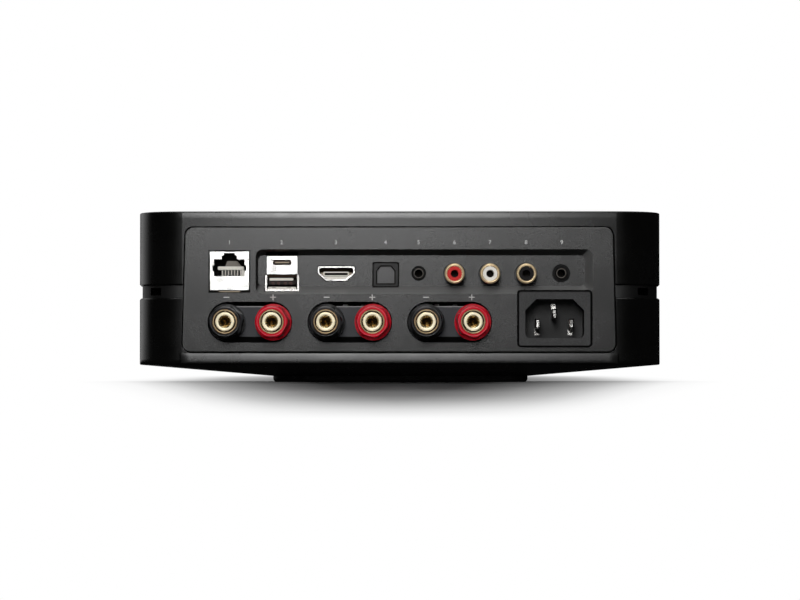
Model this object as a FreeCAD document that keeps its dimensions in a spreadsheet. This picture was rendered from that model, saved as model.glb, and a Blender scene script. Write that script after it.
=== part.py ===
import FreeCAD, Part
import math
import os
import Sketcher
from FreeCAD import Rotation, Vector

# A streaming amplifier, 217 mm wide: a low round-cornered box with its sockets in a rear panel.
# Frame: +Z up, the rear panel faces -Y, +X to the right of somebody who looks at the rear panel.
# The origin is the centre of the foot's underside.

# Driving dimensions: alias, value, what it is. Lengths in millimetres.
SIZES = [
    ("case_width", 217.0, "overall width of the case"),
    ("case_depth", 179.0, "overall depth of the case, without the speaker posts"),
    ("case_height", 70.4, "height from the foot's underside to the top"),
    ("case_wall", 2.5, "wall of both covers"),
    ("skirt_height", 7.2, "height at which the upright sides begin"),
    ("top_round", 0.6, "rounding of the top edge"),
    ("skirt_round", 0.6, "rounding of the lower edge"),
    ("waist_low", 34.8, "upper edge of the bottom cover"),
    ("waist_height", 5.1, "height of the groove between the covers"),
    ("waist_inset", 1.1, "how far the groove lies inside the sides"),
    ("waist_chamfer", 0.6, "chamfer on the covers' edges at the groove"),
    ("frame_wall", 3.0, "wall of the frame in the groove"),
    ("lip_wall", 1.5, "wall of the frame's lips inside the covers"),
    ("lip_height", 3.0, "how far the lips reach into each cover"),
    ("fit_gap", 0.1, "gap between pieces that locate each other"),
    ("run_gap", 0.05, "radial gap of turning and sliding fits"),
    ("foot_width", 109.0, "width of the foot"),
    ("foot_length", 88.0, "front to back length of the foot"),
    ("foot_height", 2.6, "thickness of the foot"),
    ("foot_corner", 10.0, "plan radius of the foot's corners"),
    ("foot_round", 1.6, "rounding of the foot's lower edge"),
    ("vent_width", 9.0, "length of a vent window in the frame"),
    ("vent_rail", 1.0, "height of the frame above and below a vent window"),
    ("vent_pitch", 11.0, "spacing of the vent windows"),
    ("vent_count", 10.0, "vent windows on each side"),
    ("corner_vent_inset", 5.4, "from the side of the case to the corner vent"),
    ("corner_vent_width", 4.6, "width of the corner vent"),
    ("panel_width", 178.6, "width of the rear panel along its lower edge"),
    ("panel_taper", 1.2, "how far the panel's upper corners lie inside its lower ones"),
    ("corner_margin", 0.2, "from the panel's lower corner to the start of the case's round corner"),
    ("panel_band", 6.7, "height of the case's band above the panel"),
    ("panel_sill", 5.2, "height of the case's band below the panel"),
    ("panel_corner", 3.5, "corner radius of the rear panel"),
    ("panel_thick", 3.0, "thickness of the rear panel"),
    ("panel_bevel", 0.3, "chamfer round the panel's face"),
    ("panel_gap", 0.5, "gap round the rear panel"),
    ("panel_flange", 1.5, "how far the panel's flange reaches behind the covers"),
    ("flange_thick", 1.7, "thickness of that flange"),
    ("tub_wall", 2.0, "wall of the panel's bay and wells"),
    ("bay_left", -59.2, "left rim of the connector bay"),
    ("bay_right", 79.8, "right rim of the connector bay"),
    ("bay_sill", 1.0, "how far the bay's lower rim lies below the main board's top"),
    ("bay_height", 18.4, "height of the connector bay"),
    ("bay_depth", 6.5, "depth of the connector bay"),
    ("bay_corner", 3.0, "corner radius of the bay's rim"),
    ("bay_floor_corner", 2.0, "corner radius of the bay's floor"),
    ("bay_draft_left", 0.8, "slope of the bay's left wall, over its depth"),
    ("bay_draft_right", 2.9, "slope of the bay's right wall, over its depth"),
    ("bay_draft_low", 3.4, "slope of the bay's lower wall, over its depth"),
    ("bay_draft_high", 2.3, "slope of the bay's upper wall, over its depth"),
    ("inlet_x", 64.1, "centre of the mains inlet, across"),
    ("inlet_headroom", 0.2, "from the inlet's body to the main board above it"),
    ("inlet_flange_width", 29.5, "width of the inlet's flange"),
    ("inlet_flange_height", 22.3, "height of the inlet's flange"),
    ("inlet_flange_thick", 2.0, "thickness of the inlet's flange"),
    ("inlet_flange_corner", 1.2, "corner radius of the inlet's flange"),
    ("inlet_sunk", 0.8, "how far the flange lies below the panel's face"),
    ("inlet_gap", 0.8, "gap round the inlet's flange"),
    ("inlet_body_width", 27.0, "width of the inlet's body"),
    ("inlet_body_height", 18.8, "height of the inlet's body"),
    ("inlet_body_depth", 18.7, "depth of the inlet's body behind the panel's face"),
    ("inlet_cavity_width", 24.3, "width of the inlet's cavity"),
    ("inlet_cavity_height", 16.1, "height of the inlet's cavity"),
    ("inlet_cavity_depth", 16.2, "depth of the inlet's cavity"),
    ("inlet_cavity_chamfer", 4.6, "chamfer of the cavity's two upper corners"),
    ("inlet_cavity_round", 2.2, "rounding of the cavity's two lower corners"),
    ("blade_width", 2.0, "width of a mains blade"),
    ("blade_height", 4.0, "height of a mains blade"),
    ("blade_spread", 7.0, "from the middle to the outer blades"),
    ("blade_rise", 2.0, "height of the earth blade above the cavity's middle"),
    ("blade_drop", 2.0, "depth of the outer blades below the cavity's middle"),
    ("blade_sunk", 1.6, "how far the blades end below the flange's face"),
    ("blade_tip", 0.5, "chamfer round the tip of a blade"),
    ("blade_step", 2.6, "height of the step beside a blade's root, away from the inlet's middle"),
    ("blade_step_length", 1.2, "length of that step in front of the cavity's end"),
    ("blade_tail", 4.0, "length of the blades behind the inlet's body"),
    ("well_first", -61.5, "middle of the left well"),
    ("well_pitch", 41.15, "spacing of the wells"),
    ("well_end_room", 0.425, "from a cap's collar to the end of its well"),
    ("well_side_room", 0.9, "from a cap's collar to the upper and lower wall of its well"),
    ("well_depth", 9.0, "depth of a well, which is open right through"),
    ("block_inset", 1.75, "from a well's wall to the block in it"),
    ("block_sunk", 4.0, "how far the block's face lies below the panel's face"),
    ("block_depth", 14.0, "depth of the block's body behind the well"),
    ("block_bevel", 0.4, "chamfer round the block's face"),
    ("post_spacing", 19.05, "spacing of the two posts of a pair"),
    ("post_rise", 10.15, "height of the posts' axes above the power board"),
    ("post_radius", 3.95, "radius of a speaker post"),
    ("post_front", 13.8, "how far the posts reach out of the panel's face"),
    ("post_root_radius", 2.5, "radius of the post's rear end"),
    ("post_shoulder", 2.5, "how far the thick part of the post enters the block's body"),
    ("post_tail", 1.2, "how far the post's end stands out of the block"),
    ("plug_bore_radius", 2.0, "radius of the bore for a banana plug"),
    ("plug_bore_depth", 14.0, "depth of that bore"),
    ("plug_mouth", 0.5, "chamfer at the bore's mouth"),
    ("wire_hole_radius", 1.5, "radius of the cross hole for bare wire"),
    ("wire_hole_seat", 1.8, "height of that hole above the block"),
    ("cap_clearance", 0.3, "gap between a closed cap and the block"),
    ("cap_length", 17.7, "length of a cap"),
    ("cap_collar_radius", 7.55, "radius of the cap's collar"),
    ("cap_collar_length", 3.0, "length of the collar"),
    ("cap_grip_radius", 7.2, "radius of the grip next to the collar"),
    ("cap_front_radius", 6.6, "radius of the grip at its front"),
    ("cap_front_round", 0.7, "rounding of the cap's front edge"),
    ("cap_flat_base", 6.75, "from the axis to a flat, at the collar"),
    ("cap_flat_front", 6.05, "from the axis to a flat, at the front"),
    ("insert_radius", 5.0, "outer radius of the brass insert"),
    ("insert_sunk", 0.4, "how far the insert lies inside the cap's front"),
    ("insert_length", 15.4, "length of the insert"),
    ("network_x", -70.0, "middle of the network socket"),
    ("network_width", 16.4, "width of the network socket"),
    ("network_height", 16.7, "height of the network socket"),
    ("network_depth", 21.3, "depth of the network socket"),
    ("network_proud", 0.3, "how far it stands out of the panel's face"),
    ("network_wall", 0.8, "wall of the network socket's shell"),
    ("network_mouth_width", 12.7, "width of the plug opening"),
    ("network_mouth_height", 7.0, "height of the plug opening"),
    ("network_mouth_low", 6.3, "height of the opening above the socket's underside"),
    ("network_notch_width", 13.9, "width across the two notches in the opening's sides"),
    ("network_notch_low", 2.0, "height of the notches above the opening's floor"),
    ("network_notch_height", 2.5, "height of those notches"),
    ("network_key_width", 6.4, "width of the latch's wide step"),
    ("network_key_height", 1.6, "height of the latch's wide step"),
    ("network_slot_width", 4.6, "width of the latch's narrow step"),
    ("network_slot_height", 1.8, "height of the latch's narrow step"),
    ("network_plug_depth", 13.0, "depth of the plug opening"),
    ("contact_pitch", 1.02, "spacing of the network contacts"),
    ("contact_count", 8, "number of network contacts"),
    ("contact_width", 0.45, "width of a network contact"),
    ("contact_height", 1.6, "height of the network contacts above the opening's floor"),
    ("contact_setback", 1.6, "from the socket's face to the contacts"),
    ("usb_x", -48.5, "middle of the USB stack"),
    ("usb_width", 12.6, "width of the USB stack"),
    ("usb_c_height", 8.15, "height of the block with the type C mouth"),
    ("usb_gap", 1.65, "from the type A shell to the block above it"),
    ("usb_c_mouth_width", 8.34, "width of the type C mouth"),
    ("usb_c_mouth_height", 2.56, "height of the type C mouth"),
    ("usb_c_mouth_depth", 6.5, "depth of the type C mouth"),
    ("usb_c_proud", 0.9, "how far the type C block stands out of the bay's floor"),
    ("usb_c_tongue_width", 6.7, "width of the type C tongue"),
    ("usb_c_tongue_height", 0.7, "thickness of the type C tongue"),
    ("usb_a_rise", 3.6, "height of the type A shell's middle above the main board"),
    ("usb_a_width", 13.2, "width of the type A shell"),
    ("usb_a_height", 5.8, "height of the type A shell"),
    ("usb_a_wall", 0.35, "sheet of the type A shell"),
    ("usb_a_flare", 0.4, "how far the type A shell's rim flares out"),
    ("usb_a_rim", 0.5, "length of that rim"),
    ("usb_a_depth", 13.0, "depth of the type A shell behind the bay's floor"),
    ("usb_a_proud", 1.2, "how far the type A shell stands out of the bay's floor"),
    ("usb_a_tongue_width", 11.1, "width of the type A tongue"),
    ("usb_a_tongue_height", 1.84, "thickness of the type A tongue"),
    ("usb_a_tongue_low", 0.45, "how far the type A tongue lies above the shell's middle"),
    ("usb_depth", 12.5, "depth of the USB stack's housing behind the panel"),
    ("av_x", -26.1, "middle of the D-shaped socket"),
    ("av_rise", 7.6, "height of its middle above the main board"),
    ("av_width", 15.2, "width of its shell"),
    ("av_height", 6.0, "height of its shell"),
    ("av_side", 2.3, "upright part of its sides"),
    ("av_foot", 3.4, "how far its lower corners are cut in"),
    ("av_top_cut", 0.6, "small chamfer of its upper corners"),
    ("av_wall", 0.6, "sheet of its shell"),
    ("av_depth", 10.0, "depth of its shell behind the bay's floor"),
    ("av_proud", 0.6, "how far its shell stands out of the bay's floor"),
    ("av_tongue_width", 10.6, "width of its tongue"),
    ("av_tongue_height", 1.1, "thickness of its tongue"),
    ("av_tongue_low", 0.5, "how far the tongue lies below the middle"),
    ("av_tongue_setback", 1.5, "from the shell's rim to the tongue"),
    ("av_riser_depth", 7.0, "depth of the moulded riser behind it"),
    ("optical_x", -5.6, "middle of the optical socket"),
    ("optical_rise", 7.1, "height of its middle above the main board"),
    ("optical_width", 10.4, "width of the optical socket"),
    ("optical_height", 10.0, "height of the optical socket"),
    ("optical_proud", 0.3, "how far it stands out of the bay's floor"),
    ("optical_face", 0.7, "thickness of its front frame"),
    ("optical_mouth_width", 7.9, "width of the house-shaped mouth"),
    ("optical_mouth_height", 7.8, "height of the house-shaped mouth"),
    ("optical_mouth_cut", 1.75, "chamfer of the mouth's upper corners"),
    ("optical_room_width", 8.9, "width of the room behind the mouth"),
    ("optical_room_height", 8.8, "height of the room behind the mouth"),
    ("optical_room_depth", 11.0, "depth of the room behind the mouth"),
    ("optical_depth", 16.0, "depth of the optical socket behind the bay's floor"),
    ("shutter_width", 8.3, "width of the shutter"),
    ("shutter_thick", 0.8, "thickness of the shutter"),
    ("shutter_axle", 0.6, "radius of the shutter's axle"),
    ("shutter_pin", 0.4, "radius of the axle's two pins"),
    ("shutter_pin_length", 0.6, "length of each pin"),
    ("lens_width", 3.3, "width of the raised pad on the shutter"),
    ("lens_height", 5.4, "height of the raised pad on the shutter"),
    ("lens_rise", 0.25, "height of that pad above the shutter"),
    ("jack_rise", 7.7, "height of the two small jacks above the main board"),
    ("jack_x", 8.0, "middle of the 3.5 mm jack"),
    ("jack_nose", 2.7, "radius of the 3.5 mm jack's nose"),
    ("remote_x", 67.0, "middle of the infra-red jack"),
    ("remote_nose", 3.5, "radius of the infra-red jack's nose"),
    ("jack_bore", 1.8, "radius of both jacks' bores"),
    ("jack_bore_depth", 13.0, "depth of both jacks' bores"),
    ("jack_width", 9.0, "width of both jacks' housings"),
    ("jack_height", 12.6, "height of both jacks' housings"),
    ("jack_depth", 13.0, "depth of both jacks' housings"),
    ("jack_hole_gap", 0.25, "gap round the jacks' noses in the bay's floor"),
    ("jack_spring_radius", 1.2, "radius of the contact at a jack's end"),
    ("jack_spring_length", 1.0, "length of the contact at a jack's end"),
    ("phono_rise", 7.2, "height of the phono sockets above the main board"),
    ("phono_first", 22.8, "middle of the red phono socket"),
    ("phono_second", 37.4, "middle of the white phono socket"),
    ("phono_third", 52.3, "middle of the black phono socket"),
    ("phono_radius", 4.15, "outer radius of a phono barrel"),
    ("phono_inner", 3.05, "inner radius of a phono barrel"),
    ("phono_length", 12.0, "how far the barrels reach out of the bay's floor"),
    ("phono_edge", 0.5, "chamfer of a barrel's front edge"),
    ("phono_hole", 4.8, "radius of the holes round the barrels"),
    ("phono_insulator_sunk", 0.4, "how far the insulators lie inside the barrels"),
    ("phono_pin_bore", 1.6, "radius of the insulators' centre holes"),
    ("phono_contact_length", 4.0, "length of the centre contacts"),
    ("phono_block_margin", 5.3, "from the outer barrels' axes to the block's ends"),
    ("phono_block_height", 13.2, "height of the phono block"),
    ("phono_block_depth", 11.0, "depth of the phono block"),
    ("socket_gap", 0.3, "gap round the square sockets in the panel"),
    ("board_thick", 1.6, "thickness of the circuit boards"),
    ("board_half_width", 88.0, "half the width of the two large boards"),
    ("board_setback", 0.3, "gap between a board's rear edge and the panel's tubs"),
    ("main_gap", 0.6, "from the outer walls of the wells to the main board"),
    ("main_depth", 64.7, "depth of the main board"),
    ("power_rise", 5.7, "height of the power board above the lower edge of the sides"),
    ("power_depth", 142.0, "depth of the power board"),
    ("column_inset", 6.5, "from the foot's side to the axis of a screw column"),
    ("column_radius", 4.0, "radius of the screw columns"),
    ("column_room", 0.4, "gap round a column in the power board"),
    ("screw_radius", 1.5, "radius of all screws"),
    ("screw_head_radius", 2.8, "radius of all screw heads"),
    ("screw_head_height", 2.2, "height of all screw heads"),
    ("screw_hole_gap", 0.2, "radial gap of a screw in its through hole"),
    ("counterbore_depth", 3.2, "depth of the counterbores under the case"),
    ("case_screw_length", 43.9, "length of a case screw below its head"),
    ("standoff_inset", 4.0, "from the board's side to a stand-off"),
    ("standoff_rear", 7.0, "from the main board's rear edge to the rear stand-offs"),
    ("standoff_front", 4.0, "from the main board's front edge to the front stand-offs"),
    ("standoff_flat", 2.75, "from a stand-off's axis to a flat"),
    ("standoff_stud", 5.0, "length of a stand-off's stud"),
    ("boss_radius", 3.6, "radius of the bosses that carry the power board"),
    ("boss_bore_depth", 4.5, "depth of the bosses' holes"),
    ("short_screw_length", 6.0, "length of the board screws"),
    ("front_boss_inset", 4.0, "from the power board's front edge to the front bosses"),
    ("sink_room", 4.0, "from a screw column to the heat sink"),
    ("sink_start", 43.5, "from the rear face to the heat sink"),
    ("sink_depth", 70.0, "front to back length of the heat sink"),
    ("sink_base", 3.5, "thickness of the heat sink's base"),
    ("fin_height", 13.0, "height of the fins above the base"),
    ("fin_thick", 2.0, "thickness of a fin"),
    ("fin_count", 11.0, "number of fins"),
    ("chip_side", 14.0, "side of an amplifier chip"),
    ("chip_height", 2.2, "height of an amplifier chip"),
    ("chip_spread", 25.0, "spacing of the amplifier chips"),
    ("chip_start", 62.0, "from the rear face to the amplifier chips"),
    ("inductor_radius", 6.3, "radius of an output inductor"),
    ("inductor_height", 13.5, "height of an output inductor"),
    ("inductor_start", 33.5, "from the rear face to the inductors' axes"),
    ("supply_room", 2.0, "from a screw column to the transformer"),
    ("supply_start", 4.0, "from the main board's front edge to the transformer"),
    ("transformer_width", 30.0, "width of the transformer"),
    ("transformer_depth", 28.0, "depth of the transformer"),
    ("transformer_height", 26.0, "height of the transformer"),
    ("winding_height", 14.0, "height of the transformer's winding"),
    ("winding_proud", 4.0, "how far the winding stands out of the core"),
    ("core_leg", 6.0, "thickness of the core's yokes"),
    ("capacitor_radius", 9.0, "radius of a bulk capacitor"),
    ("capacitor_height", 30.0, "height of a bulk capacitor"),
    ("capacitor_gap", 2.0, "gap between the capacitors and what stands beside them"),
    ("capacitor_round", 1.1, "rounding of the capacitors' upper edge"),
    ("choke_width", 18.0, "width of the mains choke"),
    ("choke_depth", 14.0, "depth of the mains choke"),
    ("choke_height", 16.0, "height of the mains choke"),
    ("choke_start", 30.0, "from the rear face to the mains choke"),
    ("bridge_width", 18.0, "width of the rectifier"),
    ("bridge_depth", 4.6, "depth of the rectifier"),
    ("bridge_height", 15.0, "height of the rectifier"),
    ("bridge_gap", 1.4, "from the rectifier to the transformer's winding"),
    ("link_gap", 6.0, "from the connector between the boards to the rectifier"),
    ("link_width", 26.0, "width of that connector"),
    ("link_depth", 6.0, "depth of that connector"),
    ("can_width", 24.0, "width of the shield can"),
    ("can_depth", 20.0, "depth of the shield can"),
    ("can_height", 3.5, "height of the shield can"),
    ("can_start", 40.0, "from the rear face to the shield can"),
    ("package_side", 12.0, "side of the flat chips beside the can"),
    ("package_height", 1.4, "height of the flat chips"),
    ("package_spread", 26.0, "from the middle to the flat chips"),
    ("antenna_length", 40.0, "length of an antenna board"),
    ("antenna_height", 9.0, "height of an antenna board"),
    ("antenna_gap", 6.0, "from the frame's upper lip to the antenna boards"),
    ("antenna_thick", 0.8, "thickness of an antenna board"),
    ("touch_width", 88.0, "width of the touch panel in the top"),
    ("touch_depth", 22.0, "front to back size of the touch panel"),
    ("touch_corner", 7.0, "corner radius of the touch panel"),
    ("touch_thick", 1.2, "thickness of the touch panel"),
    ("touch_inset", 26.0, "from the front of the case to the touch panel"),
    ("touch_gap", 0.15, "gap round the touch panel"),
    ("touch_board_inset", 2.5, "how much smaller the touch board is on each side"),
    ("window_half_width", 9.0, "half the width of the infra-red window"),
    ("window_sunk", 0.3, "how far the window lies inside the groove's face"),
    ("front_board_half_width", 14.0, "half the width of the board behind the window"),
    ("front_board_edge", 0.5, "from the frame's lips' ends to that board"),
]


class Size:
    """A length that knows both its number and the formula, in the sheet's aliases, that gives it."""

    def __init__(self, number, formula):
        self.number = float(number)
        self.formula = formula

    def join(self, sign, other, number):
        return Size(number, f"({self.formula} {sign} {other.formula})")

    def __add__(self, other):
        other = as_size(other)
        return self.join("+", other, self.number + other.number)

    def __sub__(self, other):
        other = as_size(other)
        return self.join("-", other, self.number - other.number)

    def __mul__(self, other):
        other = as_size(other)
        return self.join("*", other, self.number * other.number)

    def __truediv__(self, other):
        other = as_size(other)
        return self.join("/", other, self.number / other.number)

    def __radd__(self, other):
        return as_size(other) + self

    def __rsub__(self, other):
        return as_size(other) - self

    def __rmul__(self, other):
        return as_size(other) * self

    def __neg__(self):
        return 0 - self

    def __float__(self):
        return self.number


def as_size(value):
    return value if isinstance(value, Size) else Size(value, f"{float(value):.9f}")


def bind(item, prop, value):
    """Tie a property of an object to a formula of the sheet."""
    item.setExpression(prop, as_size(value).formula)


class Dimensions:
    """The cells of the sheet, each as an attribute of its own name."""


doc = FreeCAD.newDocument("streaming_amplifier")
sheet = doc.addObject("Spreadsheet::Sheet", "Sizes")
d = Dimensions()
for row, (alias, value, meaning) in enumerate(SIZES, 1):
    sheet.set(f"A{row}", meaning)
    sheet.set(f"B{row}", str(value))
    sheet.setAlias(f"B{row}", alias)
    setattr(d, alias, Size(value, f"Sizes.{alias}"))
doc.recompute()


# Outlines. Each function returns one that draws a closed, fully constrained outline in a sketch.

def hold(sketch, kind, size, *where):
    """Add a dimension to a sketch and bind it."""
    number = sketch.addConstraint(Sketcher.Constraint(kind, *where, float(size)))
    bind(sketch, f"Constraints[{number}]", size)


def hold_point(sketch, edge, end, x, y):
    hold(sketch, "DistanceX", x, -1, 1, edge, end)
    hold(sketch, "DistanceY", y, -1, 1, edge, end)


def at(x, y):
    return Vector(float(x), float(y), 0)


def disc(x, y, radius):
    def draw(sketch):
        edge = sketch.addGeometry(Part.Circle(at(x, y), Vector(0, 0, 1), float(radius)))
        hold_point(sketch, edge, 3, x, y)
        hold(sketch, "Radius", radius, edge)
    return draw


def polygon(points):
    """A closed outline with straight sides through the given corners."""
    def draw(sketch):
        ends = points[1:] + points[:1]
        sides = [sketch.addGeometry(Part.LineSegment(at(*start), at(*end)))
                 for start, end in zip(points, ends)]
        for side, after, start in zip(sides, sides[1:] + sides[:1], points):
            sketch.addConstraint(Sketcher.Constraint("Coincident", side, 2, after, 1))
            hold_point(sketch, side, 1, *start)
    return draw


def box(left, right, low, high):
    return polygon([(left, low), (right, low), (right, high), (left, high)])


def round_box(left, right, low, high, radius):
    """A rectangle with rounded corners, from its four sides and the corners' radius."""
    def draw(sketch):
        quarter = math.pi / 2
        lines = [
            ((left + radius, low), (right - radius, low)),
            ((right, low + radius), (right, high - radius)),
            ((right - radius, high), (left + radius, high)),
            ((left, high - radius), (left, low + radius)),
        ]
        centres = [
            (right - radius, low + radius),
            (right - radius, high - radius),
            (left + radius, high - radius),
            (left + radius, low + radius),
        ]
        sides = []
        corners = []
        for turn, (line, centre) in enumerate(zip(lines, centres)):
            circle = Part.Circle(at(*centre), Vector(0, 0, 1), float(radius))
            arc = Part.ArcOfCircle(circle, (turn - 1) * quarter, turn * quarter)
            sides.append(sketch.addGeometry(Part.LineSegment(at(*line[0]), at(*line[1]))))
            corners.append(sketch.addGeometry(arc))
        for side, corner, after in zip(sides, corners, sides[1:] + sides[:1]):
            sketch.addConstraint(Sketcher.Constraint("Tangent", side, 2, corner, 1))
            sketch.addConstraint(Sketcher.Constraint("Tangent", corner, 2, after, 1))
        for corner in corners[1:]:
            sketch.addConstraint(Sketcher.Constraint("Equal", corners[0], corner))
        sketch.addConstraint(Sketcher.Constraint("Horizontal", sides[0]))
        sketch.addConstraint(Sketcher.Constraint("Vertical", sides[1]))
        sketch.addConstraint(Sketcher.Constraint("Horizontal", sides[2]))
        sketch.addConstraint(Sketcher.Constraint("Vertical", sides[3]))
        hold(sketch, "DistanceY", low, -1, 1, sides[0], 1)
        hold(sketch, "DistanceX", right, -1, 1, sides[1], 1)
        hold(sketch, "DistanceY", high, -1, 1, sides[2], 1)
        hold(sketch, "DistanceX", left, -1, 1, sides[3], 1)
        hold(sketch, "Radius", radius, corners[0])
    return draw


def plan(width, depth, radius):
    """A rounded rectangle round the middle."""
    return round_box(-width / 2, width / 2, -depth / 2, depth / 2, radius)


def stadium(x, y, length, height):
    """A lying slot with half-round ends."""
    def draw(sketch):
        radius = height / 2
        reach = (length - height) / 2
        right = Part.Circle(at(x + reach, y), Vector(0, 0, 1), float(radius))
        left = Part.Circle(at(x - reach, y), Vector(0, 0, 1), float(radius))
        quarter = math.pi / 2
        edges = [
            sketch.addGeometry(Part.LineSegment(at(x - reach, y - radius), at(x + reach, y - radius))),
            sketch.addGeometry(Part.ArcOfCircle(right, -quarter, quarter)),
            sketch.addGeometry(Part.LineSegment(at(x + reach, y + radius), at(x - reach, y + radius))),
            sketch.addGeometry(Part.ArcOfCircle(left, quarter, 3 * quarter)),
        ]
        for edge, after in zip(edges, edges[1:] + edges[:1]):
            sketch.addConstraint(Sketcher.Constraint("Tangent", edge, 2, after, 1))
        sketch.addConstraint(Sketcher.Constraint("Horizontal", edges[0]))
        hold_point(sketch, edges[1], 3, x + reach, y)
        hold(sketch, "DistanceX", x - reach, -1, 1, edges[3], 3)
        hold(sketch, "Radius", radius, edges[1])
    return draw


class Piece:
    """One sub-part: a body built up from outlines that are drawn on its own origin planes."""

    made = []

    def __init__(self, label):
        self.body = doc.addObject("PartDesign::Body", label)
        self.body.Label = label
        self.count = 0
        Piece.made.append(self)

    def origin(self, role):
        return [part for part in self.body.Origin.OriginFeatures if part.Role == role][0]

    def feature(self, kind):
        self.count += 1
        item = self.body.newObject(kind, f"{self.body.Label}_{self.count}")
        if kind.startswith("PartDesign"):
            self.body.Tip = item
        return item

    def sketch(self, plane, level, outlines):
        """A sketch at a level along the world axis that the plane is square to."""
        sketch = self.feature("Sketcher::SketchObject")
        sketch.AttachmentSupport = [(self.origin(f"{plane}_Plane"), "")]
        sketch.MapMode = "FlatFace"
        bind(sketch, "AttachmentOffset.Base.z", -level if plane == "XZ" else level)
        for outline in outlines:
            outline(sketch)
        return sketch

    def add(self, plane, low, high, *outlines):
        """Extrude outlines from a low level to a high one."""
        profile = self.sketch(plane, low, outlines)
        pad = self.feature("PartDesign::Pad")
        pad.Profile = profile
        bind(pad, "Length", high - low)
        pad.Reversed = plane == "XZ"
        return pad

    def cut(self, plane, low, high, *outlines):
        """Cut outlines away from a low level to a high one."""
        profile = self.sketch(plane, low, outlines)
        pocket = self.feature("PartDesign::Pocket")
        pocket.Profile = profile
        bind(pocket, "Length", high - low)
        pocket.Reversed = plane != "XZ"
        return pocket

    def blend(self, kind, plane, first_level, first, second_level, second):
        """A straight-sided loft between two outlines with the same number of sides."""
        profile = self.sketch(plane, first_level, [first])
        section = self.sketch(plane, second_level, [second])
        loft = self.feature(f"PartDesign::{kind}Loft")
        loft.Profile = profile
        loft.Sections = [section]
        loft.Ruled = True
        return loft

    def turn(self, outline):
        """Turn an outline in the XY plane round the body's Y axis."""
        profile = self.sketch("XY", 0, [outline])
        turned = self.feature("PartDesign::Revolution")
        turned.Profile = profile
        turned.ReferenceAxis = (profile, ["V_Axis"])
        turned.Angle = 360
        return turned

    def repeat(self, features, axis, step, count):
        """Copy features along an axis, one step apart."""
        pattern = self.feature("PartDesign::LinearPattern")
        pattern.Originals = features
        pattern.Direction = (self.origin(axis), [""])
        pattern.Mode = "Spacing"
        bind(pattern, "Offset", step)
        bind(pattern, "Occurrences", count)
        self.body.Tip = pattern
        return pattern

    def turn_round(self, features, axis, count):
        """Copy features round an axis, in a full circle."""
        pattern = self.feature("PartDesign::PolarPattern")
        pattern.Originals = features
        pattern.Axis = (self.origin(axis), [""])
        pattern.Angle = 360
        pattern.Occurrences = count
        self.body.Tip = pattern
        return pattern

    def edges(self, test):
        doc.recompute()
        tip = self.body.Tip
        return (tip, [f"Edge{number}" for number, edge in enumerate(tip.Shape.Edges, 1) if test(edge)])

    def round(self, radius, test):
        chosen = self.edges(test)
        fillet = self.feature("PartDesign::Fillet")
        fillet.Base = chosen
        bind(fillet, "Radius", radius)

    def bevel(self, size, test):
        chosen = self.edges(test)
        chamfer = self.feature("PartDesign::Chamfer")
        chamfer.Base = chosen
        bind(chamfer, "Size", size)

    def place(self, x, y, z, angle=0.0):
        """Move the finished body, turned about its Y axis."""
        self.body.Placement = FreeCAD.Placement(Vector(), Rotation(Vector(0, 1, 0), angle))
        bind(self.body, "Placement.Base.x", x)
        bind(self.body, "Placement.Base.y", y)
        bind(self.body, "Placement.Base.z", z)


def near(value, target):
    return abs(value - float(target)) < 0.001


def level_edge(axis, level):
    """A test for the edges that lie at one level along an axis."""
    def test(edge):
        bounds = edge.BoundBox
        low = getattr(bounds, f"{axis}Min")
        high = getattr(bounds, f"{axis}Max")
        return near(low, level) and near(high, level)
    return test


def circle_edge(level, radius):
    """A test for the round edges of one radius that lie at one level along Y."""
    def test(edge):
        return level_edge("Y", level)(edge) and near(getattr(edge.Curve, "Radius", 0), radius)
    return test


# How far an outline that cuts a piece's outside away reaches past it.
CUT_MARGIN = 1.0

# Levels and places that several pieces share.

side = d.case_width / 2
rear = -d.case_depth / 2
front = d.case_depth / 2
bay_floor = rear + d.bay_depth
bay_back = bay_floor + d.tub_wall
well_back = rear + d.well_depth
block_face = rear + d.block_sunk
panel_back = rear + d.panel_thick
panel_half = d.panel_width / 2
case_corner = side - panel_half - d.corner_margin
flange_face = rear + d.case_wall + d.fit_gap
flange_back = flange_face + d.flange_thick
panel_low = d.skirt_height + d.panel_sill
panel_high = d.case_height - d.panel_band
waist_high = d.waist_low + d.waist_height
vent_low = d.waist_low + d.vent_rail
vent_high = waist_high - d.vent_rail
power_low = d.skirt_height + d.power_rise
power_top = power_low + d.board_thick
well_z = power_top + d.post_rise
well_length = d.post_spacing + 2 * (d.cap_collar_radius + d.well_end_room)
well_height = 2 * (d.cap_collar_radius + d.well_side_room)
main_low = well_z + well_height / 2 + d.tub_wall + d.main_gap
main_top = main_low + d.board_thick
inlet_z = main_low - d.inlet_headroom - d.inlet_body_height / 2
bay_low = main_top - d.bay_sill
bay_high = bay_low + d.bay_height
usb_a_z = main_top + d.usb_a_rise
usb_c_low = usb_a_z + d.usb_a_height / 2 + d.usb_gap
usb_top = usb_c_low + d.usb_c_height
av_z = main_top + d.av_rise
optical_z = main_top + d.optical_rise
jack_z = main_top + d.jack_rise
phono_z = main_top + d.phono_rise
main_rear = bay_back + d.board_setback
main_front = main_rear + d.main_depth
power_rear = well_back + d.board_setback
power_front = power_rear + d.power_depth
ceiling = d.case_height - d.case_wall
well_xs = [d.well_first + d.well_pitch * number for number in range(3)]
post_xs = [x + d.post_spacing * half for x in well_xs for half in (-0.5, 0.5)]
phono_xs = [d.phono_first, d.phono_second, d.phono_third]
column_x = d.foot_width / 2 - d.column_inset
column_y = d.foot_length / 2 - d.column_inset
rear_columns = [(-column_x, -column_y), (column_x, -column_y)]
front_columns = [(-column_x, column_y), (column_x, column_y)]
columns = rear_columns + front_columns
standoff_x = d.board_half_width - d.standoff_inset
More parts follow.
